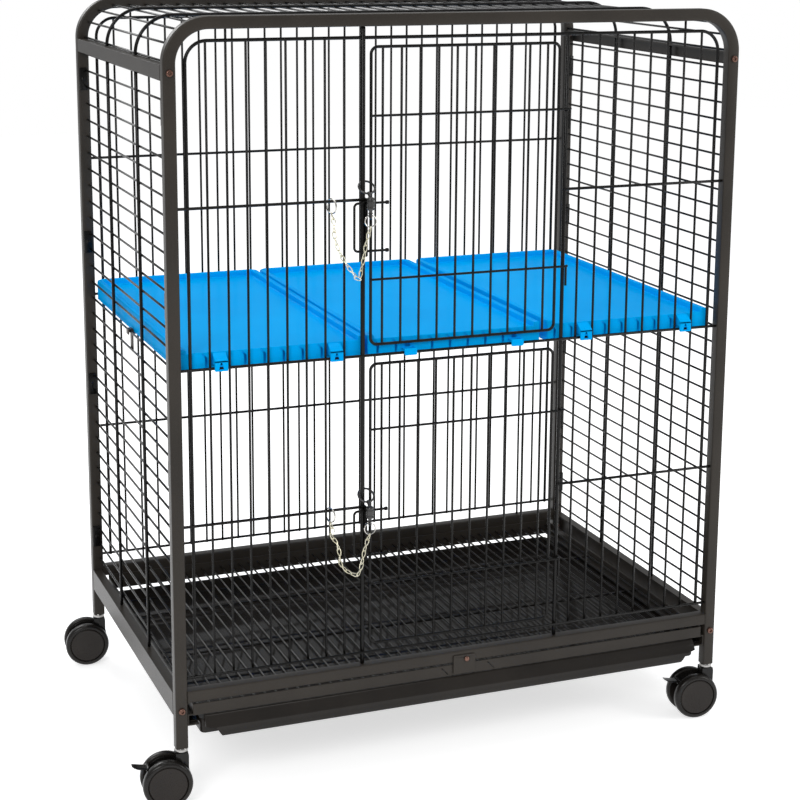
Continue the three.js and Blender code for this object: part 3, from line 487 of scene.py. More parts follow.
front.wire(V(HINGE_X, FRONT, RAIL_TOP + GAP), V(HINGE_X, FRONT, PANEL_TOP), HINGE_R, 14)
for b in BOLTS:                             # the bored plate that guides each bolt
    outline = [(FRONT - 0.6, b["low"] - 7), (FRONT - 0.6, b["top"] + 6.4), (FRONT - 7.4, b["top"] + 6.4),
               (FRONT - 9.4, b["top"] + 4.4), (FRONT - 9.4, b["low"] - 5), (FRONT - 7.4, b["low"] - 7)]
    holes = [[(ARM_Y + u, z + w) for u, w in circle(ARM_R + 0.45, 14)] for z in (b["top"], b["low"])]
    front.plate(outline, holes, yz, POST_X + 1.2, POST_X + 3.4)
piece("front_panel_wires", front, "cage", ["front_panel"], WIRE_PAINT)

rear = Shape()
border(rear, PLANE_Y)
for i in range(1, COLS):
    x, peg = column(i), i in PEGS
    rear.wire(V(x, PLANE_Y, RAIL_TOP + GAP if peg else PANEL_FOOT),
              V(x, PLANE_Y, BAR_UNDER - GAP if peg else PANEL_TOP), UPRIGHT_R)
    nub(rear, x, PLANE_Y, PANEL_TOP - 0.6, 1.7)
for k in range(4):
    y, z = PLANE_Y + LEVEL_OFF, level(k)
    rear.wire(V(-RAIL_END, y, z), V(RAIL_END, y, z), LEVEL_R)
    for i in range(COLS + 1):
        nub(rear, column(i), PLANE_Y + 1.6, z)
piece("rear_panel_wires", rear, "cage", ["rear_panel"], WIRE_PAINT)

# ---------------------------------------------------------------- side and top mesh
MESH_ROW, MESH_ROW_Z, MESH_ROWS = 23.914, 167.6, 33
HOOP_WIRE_R, HOOP_WIRE_LOW, HOOP_WIRE_HIGH, ROW_R = 2.3, 149.3, 951.8, 1.5
ROW_IN = HOOP_WIRE_R + ROW_R - 0.5
MESH_END = PLANE_Y - TUBE / 2 - 0.6
HOOP_YS = (-PLANE_Y / 3, PLANE_Y / 3)

for side, sx in (("left", -1), ("right", 1)):
    mesh = Shape()
    for y in HOOP_YS:
        mesh.wire(V(sx * LEG_X, y, HOOP_WIRE_LOW), V(sx * LEG_X, y, HOOP_WIRE_HIGH), HOOP_WIRE_R, 12)
    for k in range(MESH_ROWS):
        z, x = MESH_ROW_Z + k * MESH_ROW, sx * (LEG_X - ROW_IN)
        mesh.wire(V(x, -MESH_END + 0.6, z), V(x, MESH_END - 0.6, z), ROW_R)
        for y in HOOP_YS:
            mesh.bead(V(sx * (LEG_X - 1.9), y, z), 1.6, 2.6, 1.9, 8, 4)
    for k in (1, 11, 20, 30):               # plates that are screwed to the legs
        mid = MESH_ROW_Z + (k + 0.5) * MESH_ROW
        for sy in (-1, 1):
            xs = sorted((sx * (LEG_X - ROW_IN - 1), sx * (HALF_W - 0.6)))
            ys = sorted((sy * MESH_END, sy * (MESH_END - 2)))
            mesh.box(*xs, *ys, mid - 16, mid + 16, 0.5)
            mesh.lathe([(2.6, 0), (2.6, 0.7), (1.8, 1.2), (0.6, 1.3)],
                       V((xs[0] + xs[1]) / 2, sy * (MESH_END - 2), mid), (0, -sy, 0), 16)
    piece(f"{side}_mesh_wires", mesh, "cage", [f"{side}_mesh"], WIRE_PAINT)

roof = Shape()
ARC_Z, FLAT, START_Z = BAR_Z - BEND_R, LEG_X - BEND_R, 954.8
ARC = BEND_R * math.pi / 2
RISE = ARC_Z - START_Z
TOTAL = 2 * (RISE + ARC + FLAT)


def over_roof(s):
    """Place and outward direction at length s along the roof wire, from the left rail up."""
    if s > TOTAL / 2:
        x, z, nx, nz = over_roof(TOTAL - s)
        return -x, z, -nx, nz
    if s <= RISE:
        return -LEG_X, START_Z + s, -1.0, 0.0
    if s <= RISE + ARC:
        a = (s - RISE) / BEND_R
        return -FLAT - BEND_R * math.cos(a), ARC_Z + BEND_R * math.sin(a), -math.cos(a), math.sin(a)
    return -FLAT + (s - RISE - ARC), BAR_Z, 0.0, 1.0


for y in HOOP_YS:
    roof.sweep(fillet([V(-LEG_X, y, START_Z), V(-LEG_X, y, BAR_Z), V(LEG_X, y, BAR_Z),
                       V(LEG_X, y, START_Z)], BEND_R, 16), circle(HOOP_WIRE_R, 12), up=(0, 1, 0))
first = MESH_ROW_Z + MESH_ROWS * MESH_ROW - START_Z
rows = round((TOTAL - 2 * first) / MESH_ROW)
for k in range(rows + 1):
    x, z, nx, nz = over_roof(first + (TOTAL - 2 * first) * k / rows)
    px, pz = x - nx * ROW_IN * 0.93, z - nz * ROW_IN * 0.93
    roof.wire(V(px, -MESH_END, pz), V(px, MESH_END, pz), ROW_R)
    for y in HOOP_YS:
        roof.bead(V(x - nx * 1.8, y, z - nz * 1.8), 1.9, 2.6, 1.9, 8, 4)
piece("top_mesh_wires", roof, "cage", ["top_mesh"], WIRE_PAINT)

# ---------------------------------------------------------------- doors
DOOR_X0, DOOR_X1, DOOR_Y = -130.0, 131.3, FRONT - 1.9
DOOR_COLUMNS = [column(i) for i in range(10, 20)]
DOOR_RIM_R, DOOR_LEVEL_R = 2.0, 1.6
DOOR_LEVEL_Y = FRONT - HINGE_R - 0.4 - DOOR_LEVEL_R
HOOK_X = HINGE_X + HINGE_R + 0.8 + DOOR_LEVEL_R       # the level wires end in hooks round the hinge post
DOORS = [("upper_door", 590.3, 971.6, (885.7, 676.1)), ("lower_door", 181.6, 564.4, (477.5, 266.2))]

for name, z0, z1, zs in DOORS:
    door = Shape()
    mid = (DOOR_X0 + DOOR_X1) / 2
    loop = fillet([V(mid, DOOR_Y, z0), V(DOOR_X0, DOOR_Y, z0), V(DOOR_X0, DOOR_Y, z1), V(DOOR_X1, DOOR_Y, z1),
                   V(DOOR_X1, DOOR_Y, z0), V(mid, DOOR_Y, z0)], 9, 8)[:-1]
    door.sweep(loop, circle(DOOR_RIM_R, 12), up=(0, 1, 0), closed=True)
    for x in DOOR_COLUMNS:
        door.wire(V(x, DOOR_Y, z0), V(x, DOOR_Y, z1), UPRIGHT_R)
        for z in (z0, z1):
            nub(door, x, DOOR_Y, z, 1.8)
    for z in zs:
        path = fillet([V(DOOR_X0 - 1, DOOR_LEVEL_Y, z), V(HOOK_X, DOOR_LEVEL_Y, z), V(HOOK_X, FRONT, z),
                       V(HOOK_X, FRONT, z - 27)], 2.2, 6)
        door.sweep(path, circle(DOOR_LEVEL_R, 10), up=(0, 0, 1))
        for x in [DOOR_X0, DOOR_X1] + DOOR_COLUMNS:
            nub(door, x, DOOR_Y - 1.3, z, 1.6)
    piece(name + "_wires", door, name, [name], WIRE_PAINT)

# ---------------------------------------------------------------- bolts, snap hooks, rings, chains
KNOB_X, BOLT_END_X = -109.2, -153.7
for b in BOLTS:
    bolt = Shape()
    path = fillet([V(KNOB_X, ARM_Y, b["top"]), V(BOLT_END_X, ARM_Y, b["top"]), V(BOLT_END_X, ARM_Y, b["low"]),
                   V(KNOB_X, ARM_Y, b["low"])], 5, 8)
    bolt.sweep(path, circle(ARM_R, 12), up=(0, 1, 0))
    for z in (b["top"], b["low"]):
        bolt.lathe([(1.4, -2.0), (2.2, -2.0), (2.5, -1.5), (2.5, 1.2), (2.2, 1.8), (1.3, 2.0)],
                   V(KNOB_X, ARM_Y, z), (1, 0, 0), 20)
    node = b["name"] + "_bolt"
    piece(node + "_wire", bolt, node, [node], WIRE_PAINT)

HOOK_C, HOOK_BODY_Y, CHAIN_Y = -135.3, FRONT - 15.6, FRONT - 12
LOOP_R, LOOP_TILT = 10.5, math.radians(40)
EYE_DROP, LINK_R, SPLIT_R, SPLIT_TURN = 33.6, 7.5, 9.4, math.radians(22)
HOOK_BODY = [(2.0, -10.4), (3.6, -10.8), (4.6, -11.8), (4.8, -13.0), (4.8, -14.4), (4.2, -14.9), (4.2, -15.6),
             (4.8, -16.1), (4.8, -22.4), (4.2, -22.9), (4.2, -23.6), (4.8, -24.1), (4.8, -25.8), (4.3, -26.8),
             (3.0, -27.3), (2.3, -27.6), (2.2, -30.2), (3.0, -30.6), (3.0, -31.6), (1.6, -32.0)]
CHAINS = {
    "upper": [(-182, 736), (-178.5, 723), (-172.5, 710), (-164.5, 697), (-156, 686), (-149.5, 680),
              (-146, 693), (-142.5, 710), (-139.4, 727)],
    "lower": [(-188, 343), (-180, 331), (-176.5, 318), (-174.5, 302), (-165, 290.5), (-152, 284),
              (-146.5, 293), (-143.4, 308), (-140, 322)],
}
CHAIN_PITCH, CHAIN_HALF, CHAIN_LAP, CHAIN_CURB, CHAIN_WIRE_R = 8.4, 2.3, 0.95, 0.55, 0.62


def snap_hook(z):
    """Tilted loop round the door post, a swivelling body below it with a thumb piece, and an eye."""
    y = FRONT - 1
    hook = Shape()
    hook.torus(V(HOOK_C, y, z), V(0, -math.sin(LOOP_TILT), math.cos(LOOP_TILT)), LOOP_R, 1.35, 40, 10)
    low = V(HOOK_C, y - LOOP_R * math.cos(LOOP_TILT), z - LOOP_R * math.sin(LOOP_TILT))
    neck = [low + V(0, 1.5, 1.0), low, V(HOOK_C, HOOK_BODY_Y + 1.2, z - 11), V(HOOK_C, HOOK_BODY_Y, z - 15)]
    hook.sweep(smooth_line(neck, 5), circle(2.1, 12), up=(1, 0, 0))
    hook.lathe(HOOK_BODY, V(HOOK_C, HOOK_BODY_Y, z), (0, 0, 1), 28)
    hook.box(HOOK_C + 3.6, HOOK_C + 6.2, HOOK_BODY_Y - 1.1, HOOK_BODY_Y + 1.1, z - 20.5, z - 16.5, 0.6, 3)
    hook.torus(V(HOOK_C, HOOK_BODY_Y, z - 34), (1, 0, 0), 3.8, 1.15, 24, 8)
    return hook


def coil(centre, axis, radius):
    """A split ring: nearly two turns of round wire side by side."""
    turns, steps = 1.9, 40
    axis = Vector(axis).normalized()
    u = axis.orthogonal().normalized()
    w = axis.cross(u)
    count = int(turns * steps)
    path = []
    for k in range(count + 1):
        t = 2 * math.pi * k / steps
        path.append(centre + (u * math.cos(t) + w * math.sin(t)) * radius + axis * (k / count - 0.5) * 1.9)
    ring = Shape()
    ring.sweep(path, circle(0.72, 8), up=axis)
    return ring


def chain(path):
    """Twisted oval links along a path, every other one turned by a quarter."""
    lengths = [0.0]
    for a, b in zip(path, path[1:]):
        lengths.append(lengths[-1] + (b - a).length)
    count = round(lengths[-1] / CHAIN_PITCH)
    step = lengths[-1] / count

    def at(s):
        i = next((i for i in range(len(path) - 1) if s <= lengths[i + 1]), len(path) - 2)
        return path[i].lerp(path[i + 1], (s - lengths[i]) / (lengths[i + 1] - lengths[i]))

    links = Shape()
    for c in range(count):
        middle = (c + 0.5) * step
        centre, along = at(middle), (at(middle + 2) - at(middle - 2)).normalized()
        side = along.cross(V(0, 1, 0)).normalized()
        turn = math.radians(38 if c % 2 else -52) + rng.uniform(-0.12, 0.12)
        n1 = Matrix.Rotation(turn, 3, along) @ side
        n2 = along.cross(n1)
        pts = []
        for k in range(28):
            t = 2 * math.pi * k / 28
            a = (step / 2 + CHAIN_LAP) * math.cos(t)
            w = CHAIN_HALF * math.copysign(abs(math.sin(t)) ** 0.8, math.sin(t))
            pts.append(centre + along * a + n1 * w + n2 * CHAIN_CURB * math.sin(2 * t))
        links.sweep(pts, circle(CHAIN_WIRE_R, 8), up=n2, closed=True)
    return links


for b in BOLTS:
    name, z = b["name"], b["hook"]
    hook = snap_hook(z)
    piece(name + "_snap_hook_body", hook, "cage", [name + "_snap_hook"], HOOK_BLACK)

    link = V(HOOK_C, HOOK_BODY_Y, z - EYE_DROP - LINK_R)
    ring = coil(link, (0, 1, 0), LINK_R)
    piece(name + "_link_coil", ring, "cage", [name + "_link_ring"], RING_CHROME)

    split = V(b["ring"], FRONT - LEVEL_OFF, level(b["k"]) + LEVEL_R + 1.4 - SPLIT_R)
    ring = coil(split, (math.cos(SPLIT_TURN), math.sin(SPLIT_TURN), 0), SPLIT_R)
    piece(name + "_split_coil", ring, "cage", [name + "_split_ring"], RING_CHROME)

    # from just inside the foot of the split ring, along the listed points, to the foot of the link ring
    run = [split - V(0, 0, SPLIT_R - 0.2), V(split.x + 0.6, CHAIN_Y + 1.6, split.z - SPLIT_R - 11.1)]
    run += [V(x, CHAIN_Y, zz) for x, zz in CHAINS[name]]
    run += [link - V(0, 0, LINK_R - 0.2)]
    links = chain(smooth_line(run, 8))
    piece(name + "_chain_links", links, "cage", [name + "_chain"], CHAIN_STEEL)

# ---------------------------------------------------------------- shelves
SHELF_W, SHELF_Y0, SHELF_Y1 = 245.0, FRONT + 4, PLANE_Y - 12
CLIP_Z = level(2) + LEVEL_R + GAP
DECK, RIM_TOP, FRONT_TOP, SKIRT_Z = CLIP_Z + 14.7, CLIP_Z + 23.2, CLIP_Z + 17.4, CLIP_Z - 5.5
RIM_W, SKIN, NOTCH_HALF, RIB_HALF = 9.0, 2.6, 1.8, 0.8
CLIP_HALF, CLIP_OUT = 8.5, PLANE_Y + 8.6
SHELVES = [("left", -258.5, (1.5, 7.5)), ("middle", -9.0, (11.5, 17.5)), ("right", 247.5, (21.5, 27.5))]

# section across a rim, from the outer face inwards: a double ridge with a fall to the deck
RIM = [(0.0, SKIRT_Z), (0.0, RIM_TOP - 3.0), (0.5, RIM_TOP - 1.0), (1.7, RIM_TOP - 0.15),
       (3.0, RIM_TOP - 0.3), (3.9, RIM_TOP - 1.5), (4.7, RIM_TOP - 1.5), (5.5, RIM_TOP - 0.5),
       (6.6, RIM_TOP - 0.2), (7.9, RIM_TOP - 1.0), (8.5, RIM_TOP - 2.8), (8.9, DECK + 1.4),
       (9.9, DECK + 0.35), (11.4, DECK), (11.4, DECK - SKIN), (SKIN, DECK - SKIN), (SKIN, SKIRT_Z)]


def rims(shelf, x0, x1):
    """Side and rear rims as one mitred run round the two rear corners."""
    front_y, corner = SHELF_Y0 + 0.5, 8
    run = [V(x0, front_y, 0), V(x0, SHELF_Y1 - corner, 0), V(x0 + corner, SHELF_Y1, 0),
           V(x1 - corner, SHELF_Y1, 0), V(x1, SHELF_Y1 - corner, 0), V(x1, front_y, 0)]
    rings = []
    for i, p in enumerate(run):
        legs = [(run[j + 1] - run[j]).normalized() for j in (i - 1, i) if 0 <= j < len(run) - 1]
        inward = [V(leg.y, -leg.x, 0) for leg in legs]
        mean = sum(inward, V(0, 0, 0)).normalized()
        stretch = 1 / mean.dot(inward[0])
        rings.append([V(p.x, p.y, z) + mean * u * stretch for u, z in RIM])
    shelf.rings(rings)


def deck(shelf, x0):
    """The floor of a shelf, crowned by half a millimetre."""
    nx, ny = 24, 36
    row = nx + 1
    grid, faces = [], []
    for j in range(ny + 1):
        for i in range(row):
            s, t = i / nx, j / ny
            crown = 0.5 * math.sin(math.pi * s) * math.sin(math.pi * t)
            x, y = x0 + RIM_W + (SHELF_W - 2 * RIM_W) * s, SHELF_Y0 + 1.6 + (SHELF_Y1 - SHELF_Y0 - 10) * t
            grid.append(V(x, y, DECK - 0.05 + crown))
    under = len(grid)
    grid += [V(p.x, p.y, DECK - SKIN) for p in grid]
    for j in range(ny):
        for i in range(nx):
            a = j * row + i
            faces.append((a, a + 1, a + row + 1, a + row))
            faces.append((under + a, under + a + row, under + a + row + 1, under + a + 1))
    loop = ([i for i in range(row)] + [j * row + nx for j in range(1, ny + 1)]
            + [ny * row + i for i in range(nx - 1, -1, -1)] + [j * row for j in range(ny - 1, 0, -1)])
    for a, b in zip(loop, loop[1:] + loop[:1]):
        faces.append((a, under + a, under + b, b))
    shelf.add(grid, faces)


def front_wall(shelf, x0, x1, clips, windows):
    """Wall with a slanted notch beside each upright, a bead along its top and a wall behind the notches."""
    edge, holes = [(x0 + 0.4, SKIRT_Z)], []
    for i in range(COLS + 1):
        x = column(i) - 3.3
        if x0 + 10 < x < x1 - 10 and not any(abs(x - column(c)) < 13.5 for c in clips):
            left, right = x - NOTCH_HALF, x + NOTCH_HALF
            edge += [(left, SKIRT_Z), (left, FRONT_TOP - 6.4), (x - 6.6, FRONT_TOP - 1.3),
                     (x - 4.6, FRONT_TOP - 1.3), (x + 0.9, FRONT_TOP - 6.4), (right, FRONT_TOP - 8.6),
                     (right, SKIRT_Z)]
    if windows:
        for x in map(column, clips):
            holes.append([(x - 3.6, CLIP_Z + 3.6), (x + 3.6, CLIP_Z + 3.6), (x + 3.6, CLIP_Z + 11.4),
                          (x - 3.6, CLIP_Z + 11.4)])
    edge += [(x1 - 0.4, SKIRT_Z), (x1 - 0.4, FRONT_TOP - 1.0), (x1 - 2, FRONT_TOP), (x0 + 2, FRONT_TOP),
             (x0 + 0.4, FRONT_TOP - 1.0)]
    shelf.plate(edge, holes, xz, SHELF_Y0, SHELF_Y0 + SKIN)
    y, z = SHELF_Y0 + 1.25, FRONT_TOP - 0.9
    shelf.sweep([V(x0 + 9.5, y, z), V(x1 - 9.5, y, z)], circle(1.25, 12), up=(0, 0, 1))
    shelf.box(x0 + 2, x1 - 2, SHELF_Y0 + 9.0, SHELF_Y0 + 10.4, SKIRT_Z + 1, DECK - 1.5, 0)


def ribs(shelf, x0, x1):
    """Stiffening ribs below the deck, both ways."""
    low, high = DECK - 12, DECK - 2
    for k in range(1, 5):
        x = x0 + SHELF_W * k / 5
        shelf.box(x - RIB_HALF, x + RIB_HALF, SHELF_Y0 + 2, SHELF_Y1 - 2, low, high, 0.3, 1)
    for k in range(1, 8):
        y = SHELF_Y0 + (SHELF_Y1 - SHELF_Y0) * k / 8
        shelf.box(x0 + 2, x1 - 2, y - RIB_HALF, y + RIB_HALF, low, high, 0.3, 1)


def clip(shelf, x, sy, tab):
    """A clip over a level wire; a tab also falls from the front edge and has a triangular hole."""
    wall = SHELF_Y0 + 1 if sy < 0 else SHELF_Y1 - 1
    outer, back = sy * CLIP_OUT, sy * (CLIP_OUT - 2.2)
    low, top = CLIP_Z - 5.2, CLIP_Z + (8.2 if tab else 3.8)
    left, right = x - CLIP_HALF, x + CLIP_HALF
    shelf.box(left, right, *sorted((wall, back)), CLIP_Z, CLIP_Z + 2.4, 0.4)
    face = [(x - 7.6, low), (x + 7.6, low), (right, low + 0.9), (right, top), (left, top), (left, low + 0.9)]
    hole = [(x - 3.4, low + 2.2), (x + 3.4, low + 2.2), (x + 0.4, top - 1.6), (x - 0.6, top - 1.6)]
    shelf.plate(face, [hole] if tab else [], xz, *sorted((outer, back)))
    if tab:
        slope = [(outer, top), (SHELF_Y0, FRONT_TOP - 0.7), (SHELF_Y0, FRONT_TOP - 3.4), (back, top - 1.2),
                 (back, top - 2.0), (outer, top - 2.0)]
        shelf.plate(slope, [], yz, left, right)
        gusset = [(wall, CLIP_Z + 1.0), (back, CLIP_Z + 1.0), (back, top - 1.6),
                  (SHELF_Y0 + 0.5, FRONT_TOP - 2.6), (wall, FRONT_TOP - 2.6)]
        off, half = 8.0, 0.5
    else:
        gusset = [(wall, CLIP_Z + 1.5), (back, CLIP_Z + 1.5), (back, CLIP_Z + 3.6), (wall, CLIP_Z + 3.6)]
        off, half = 7.9, 0.6
    for gx in (x - off, x + off):
        shelf.plate(gusset, [], yz, gx - half, gx + half)


for name, middle, clips in SHELVES:
    shelf = Shape()
    x0, x1 = middle - SHELF_W / 2, middle + SHELF_W / 2
    rims(shelf, x0, x1)
    deck(shelf, x0)
    front_wall(shelf, x0, x1, clips, windows=name == "middle")
    ribs(shelf, x0, x1)
    for c in clips:
        for sy in (-1, 1):
            clip(shelf, column(c), sy, tab=sy < 0 and name != "middle")
    node = name + "_shelf"
    piece(node + "_moulding", shelf, node, [node], SHELF_BLUE, bevel=0.35)

# ---------------------------------------------------------------- floor grate
GRATE_X, GRATE_Y0, GRATE_Y1, GRATE_Z0, GRATE_Z1 = 374.6, FRONT - TUBE / 2, PLANE_Y - 9, 121.4, 135.2
GRATE_PITCH, GRATE_WIRE_Z, GRATE_WIRE_R, CROSS_TOP, SLIT = 15.24, 130.4, 1.35, 129.4, 1.8
grate = Shape()
for k in range(-24, 25):
    x = k * GRATE_PITCH
    grate.sweep([V(x, GRATE_Y0 + 1, GRATE_WIRE_Z), V(x, GRATE_Y1 - 1, GRATE_WIRE_Z)], circle(GRATE_WIRE_R, 8))
for y, r in ((-76.0, 2.0), (84.0, 1.7), (GRATE_Y0 + 9, 1.5)):
    grate.wire(V(-GRATE_X + 1.5, y, CROSS_TOP - r), V(GRATE_X - 1.5, y, CROSS_TOP - r), r)
piece("grate_wires", grate, "cage", ["floor_grate"], GRATE_PAINT)

band = Shape()
slits = [[(x, 132.0), (x - SLIT, 132.0), (x - SLIT + 9.5, 121.8), (x + 9.5, 121.8)] for x in (-27, 41)]
band.plate([(-GRATE_X, GRATE_Z0 - 1.6), (GRATE_X, GRATE_Z0 - 1.6), (GRATE_X, GRATE_Z1), (-GRATE_X, GRATE_Z1)],
           slits, xz, GRATE_Y0, GRATE_Y0 + 2)
band.box(-GRATE_X, GRATE_X, GRATE_Y1 - 2, GRATE_Y1, GRATE_Z0 - 5.0, GRATE_Z1 + 4.2, 0)
for sx in (-1, 1):
    band.box(*sorted((sx * (GRATE_X - 0.2), sx * (GRATE_X - 2))), GRATE_Y0 + 1, GRATE_Y1 - 1, GRATE_Z0,
             GRATE_Z1 - 0.2, 0)
piece("grate_band", band, "cage", ["floor_grate"], FRAME_PAINT, bevel=0.45)

# ---------------------------------------------------------------- tray
TRAY_X, TRAY_FRONT, TRAY_REAR, TRAY_CORNER = 364.6, FRONT - TUBE / 2 + 1, PLANE_Y - 12, 8.0
TRAY_FOOT, TRAY_FLOOR, TRAY_RIM = 92.0, 93.6, 112.0
FLANGE_X, FLANGE_LOW, FLANGE_TOP = 378.8, 107.3, 108.9      # they slide in the runners
TRAY_RIB_YS = (150.0, 132.0, 20.0, -96.0)
TRAY_RIB = [(-5.0, -0.2), (-3.4, 0.4), (-1.6, 1.4), (1.6, 1.4), (3.4, 0.4), (5.0, -0.2)]
# the tray's wall, from the foot up the outside and down the inside, as (inset, height)
TRAY_WALL = [(3.4, TRAY_FOOT), (1.0, TRAY_FOOT + 0.6), (0.2, TRAY_FOOT + 1.8), (0.0, TRAY_FOOT + 3.5),
             (0.0, TRAY_RIM - 0.6), (0.3, TRAY_RIM), (1.3, TRAY_RIM), (1.6, TRAY_RIM - 0.6),
             (1.6, TRAY_FLOOR + 2.0), (2.2, TRAY_FLOOR + 0.6), (4.2, TRAY_FLOOR)]
# section of the curved pull lip, as (distance behind the tray's front, height), and how its ends are cut back
LIP = [(1.2, 104), (1.2, 117.9), (0.5, 118.6), (-1.5, 118.6), (-3.4, 117.2), (-6.5, 113.6), (-8.9, 110.2),
       (-10.8, 106), (-11.7, 102), (-12, 98), (-11.5, 94), (-10.6, 90.6), (-10.2, 90.2), (-9.3, 90.2),
       (-9.0, 90.7), (-9.9, 94), (-10.2, 98), (-10.0, 102), (-9.2, 105.4), (-7.5, 109.2), (-5.4, 112.2),
       (-3.0, 114.9), (-0.9, 116.6), (-0.4, 116.6), (-0.4, 104)]
LIP_HALF, LIP_CUT_TOP = 360.6, 105.2
LIP_CUT = [(90.2, 338.6), (96, 343), (102, 345.6), (104.2, 346.5), (LIP_CUT_TOP, 349.0)]
LIP_STATIONS = (-1.0, -0.985, -0.75, -0.5, -0.25, 0, 0.25, 0.5, 0.75, 0.985, 1.0)


def pan_ring(inset, z):
    w, h = 2 * (TRAY_X - inset), TRAY_REAR - TRAY_FRONT - 2 * inset
    cy = (TRAY_REAR + TRAY_FRONT) / 2
    return [V(u, cy + t, z) for u, t in round_rect(w, h, TRAY_CORNER - inset, 6)]


def lip_half(dy, z):
    """Half the lip's width at a point of its section."""
    if dy > -2 or z > LIP_CUT_TOP:
        return LIP_HALF
    for (za, wa), (zb, wb) in zip(LIP_CUT, LIP_CUT[1:]):
        if z <= zb:
            return wa + (wb - wa) * (z - za) / (zb - za)


pan = Shape()
pan.rings([pan_ring(inset, z) for inset, z in TRAY_WALL])
for y in TRAY_RIB_YS:
    pan.rings([[V(x, y + u, TRAY_FLOOR + w) for u, w in TRAY_RIB] for x in (-TRAY_X + 22, TRAY_X - 22)])
for sx in (-1, 1):
    xs = sorted((sx * (TRAY_X - 0.8), sx * FLANGE_X))
    pan.box(*xs, TRAY_FRONT + 9, TRAY_REAR - 1, FLANGE_LOW, FLANGE_TOP, 0.4)
pan.rings([[V(lip_half(dy, z) * s, TRAY_FRONT + dy, z) for dy, z in LIP] for s in LIP_STATIONS])
piece("tray_pan", pan, "tray", ["tray"], TRAY_PAINT, bevel=0.2)

# ---------------------------------------------------------------- turn button
BUTTON_X, BUTTON_Z, BUTTON_Y, BUTTON_THICK = 7.8, 142.2, FRONT - TUBE / 2 - 0.3, 2.0
BUTTON = [(-10.7, 121.9), (19.3, 121.9), (21, 123.6), (21, 146.6), (19.4, 148.4), (-9.9, 148.4),
          (-11.5, 146.8), (-11.5, 122.7)]
PIN = [(2.0, -2.9), (2.0, -0.5), (3.8, -0.4), (3.8, 0.6), (3.5, 1.4), (2.7, 2.2), (1.4, 2.6), (0.4, 2.7)]
button, pin = Shape(), Shape()
bore = [(BUTTON_X + u, BUTTON_Z + w) for u, w in circle(2.4, 18)]
button.plate(BUTTON, [bore], xz, BUTTON_Y - BUTTON_THICK, BUTTON_Y)
piece("turn_button_plate", button, "turn_button", ["turn_button"], FRAME_PAINT, bevel=0.5)
pin.lathe(PIN, V(BUTTON_X, BUTTON_Y - BUTTON_THICK - 0.3, BUTTON_Z), (0, -1, 0), 32)
piece("turn_button_pin", pin, "cage", ["turn_button_screw"], SCREW_STEEL)

# ---------------------------------------------------------------- castors, drawn with the stem on the origin
WHEEL_R, TRAIL, YAW = 32.5, 20.0, math.radians(-6)
LEVER_X, LEVER_Z = -TRAIL - 23.4, WHEEL_R + 19.5
CASTORS = [("front_left", -LEG_X, FRONT, True), ("front_right", LEG_X, FRONT, True),
           ("rear_left", -LEG_X, PLANE_Y, False), ("rear_right", LEG_X, PLANE_Y, False)]
STEM = [(5.0, 56), (5.0, 70.6), (7.4, 70.6), (8.6, 71.4), (8.6, 74.6), (8.0, 75.7), (5.0, 75.7), (5.0, 107.4),
        (4.2, 108)]
NECK = [(5.6, 40), (8.4, 42), (8.75, 48), (8.75, 68.6), (8.2, 70.0), (5.6, 70.2)]
TYRE = [(25.9, -18.6), (26.0, -20.3), (26.5, -20.9), (28.0, -21.0), (29.6, -20.7), (31.0, -19.8),
        (32.0, -18.3), (32.5, -16.6), (32.5, -11.8), (32.1, -10.4), (31.0, -9.5), (29.5, -9.2), (20.0, -9.2),
        (3.2, -9.2)]
HUB = [(0.5, -20.4), (6.0, -20.35), (12.0, -20.2), (18.0, -20.1), (22.5, -20.3), (23.9, -20.6), (24.5, -20.3),
       (24.6, -19.2), (25.9, -18.6), (25.9, -17.0), (0.5, -17.0)]
PIVOT = [(2.0, -8.6), (3.0, -8.4), (3.2, -7.8), (3.2, 7.8), (3.0, 8.4), (2.0, 8.6)]
BLADE = [(0, 0.4), (-5, 0.9), (-10, 1.5), (-14.5, 2.6), (-18.5, 4.0), (-21.2, 5.6)]


def hood_outline(r, back):
    """Side view of the hood: an arc of radius r over the wheels, drawn in by back at its other edges."""
    pts = [(-TRAIL - 9 + back, WHEEL_R - 7 + back), (-TRAIL + 6, WHEEL_R - 9 + back),
           (8.4 - back * 0.5, WHEEL_R + 2), (8.8 - back * 0.2, 66.0), (8.0 - back * 0.2, 70.2 - back * 0.3),
           (-8, 70.2 - back * 0.3)]
    for k in range(15):
        a = math.radians(66 + (134 - 66) * k / 14)
        pts.append((-TRAIL + r * math.cos(a), WHEEL_R + r * math.sin(a)))
    return pts


def hood():
    """Two flanges with a channel between them, run into the neck round the stem."""
    shape = Shape()
    for y0, y1 in ((-8.6, -5.6), (5.6, 8.6)):
        shape.plate(hood_outline(29.0, 0), [], xz, y0, y1)
    shape.plate(hood_outline(26.4, 1.6), [], xz, -6.0, 6.0)
    shape.lathe(NECK, V(0, 0, 0), (0, 0, 1), 32)
    return shape


def pair(profile):
    """A wheel's profile turned for both wheels."""
    shape = Shape()
    for flip in (1, -1):
        shape.lathe([(r, flip * s) for r, s in profile], V(-TRAIL, 0, WHEEL_R), (0, 1, 0), 72)
    return shape


def brake_lever():
    """A pivot tube with a blade that widens, thins and rises towards its tip."""
    shape = Shape()
    shape.lathe(PIVOT, V(LEVER_X, 0, LEVER_Z), (0, 1, 0), 20)
    rings = []
    for k, (dx, dz) in enumerate(BLADE):
        t = k / (len(BLADE) - 1)
        half = 6.2 + 1.3 * math.sin(math.pi * min(t * 1.15, 1.0)) - 10.4 * max(t - 0.75, 0)
        thick = 1.7 - 0.9 * t
        rings.append([V(LEVER_X + dx, half * u, LEVER_Z + dz + thick * w)
                      for u, w in round_rect(2, 2, 0.55, 3)])
    shape.rings(rings)
    return shape


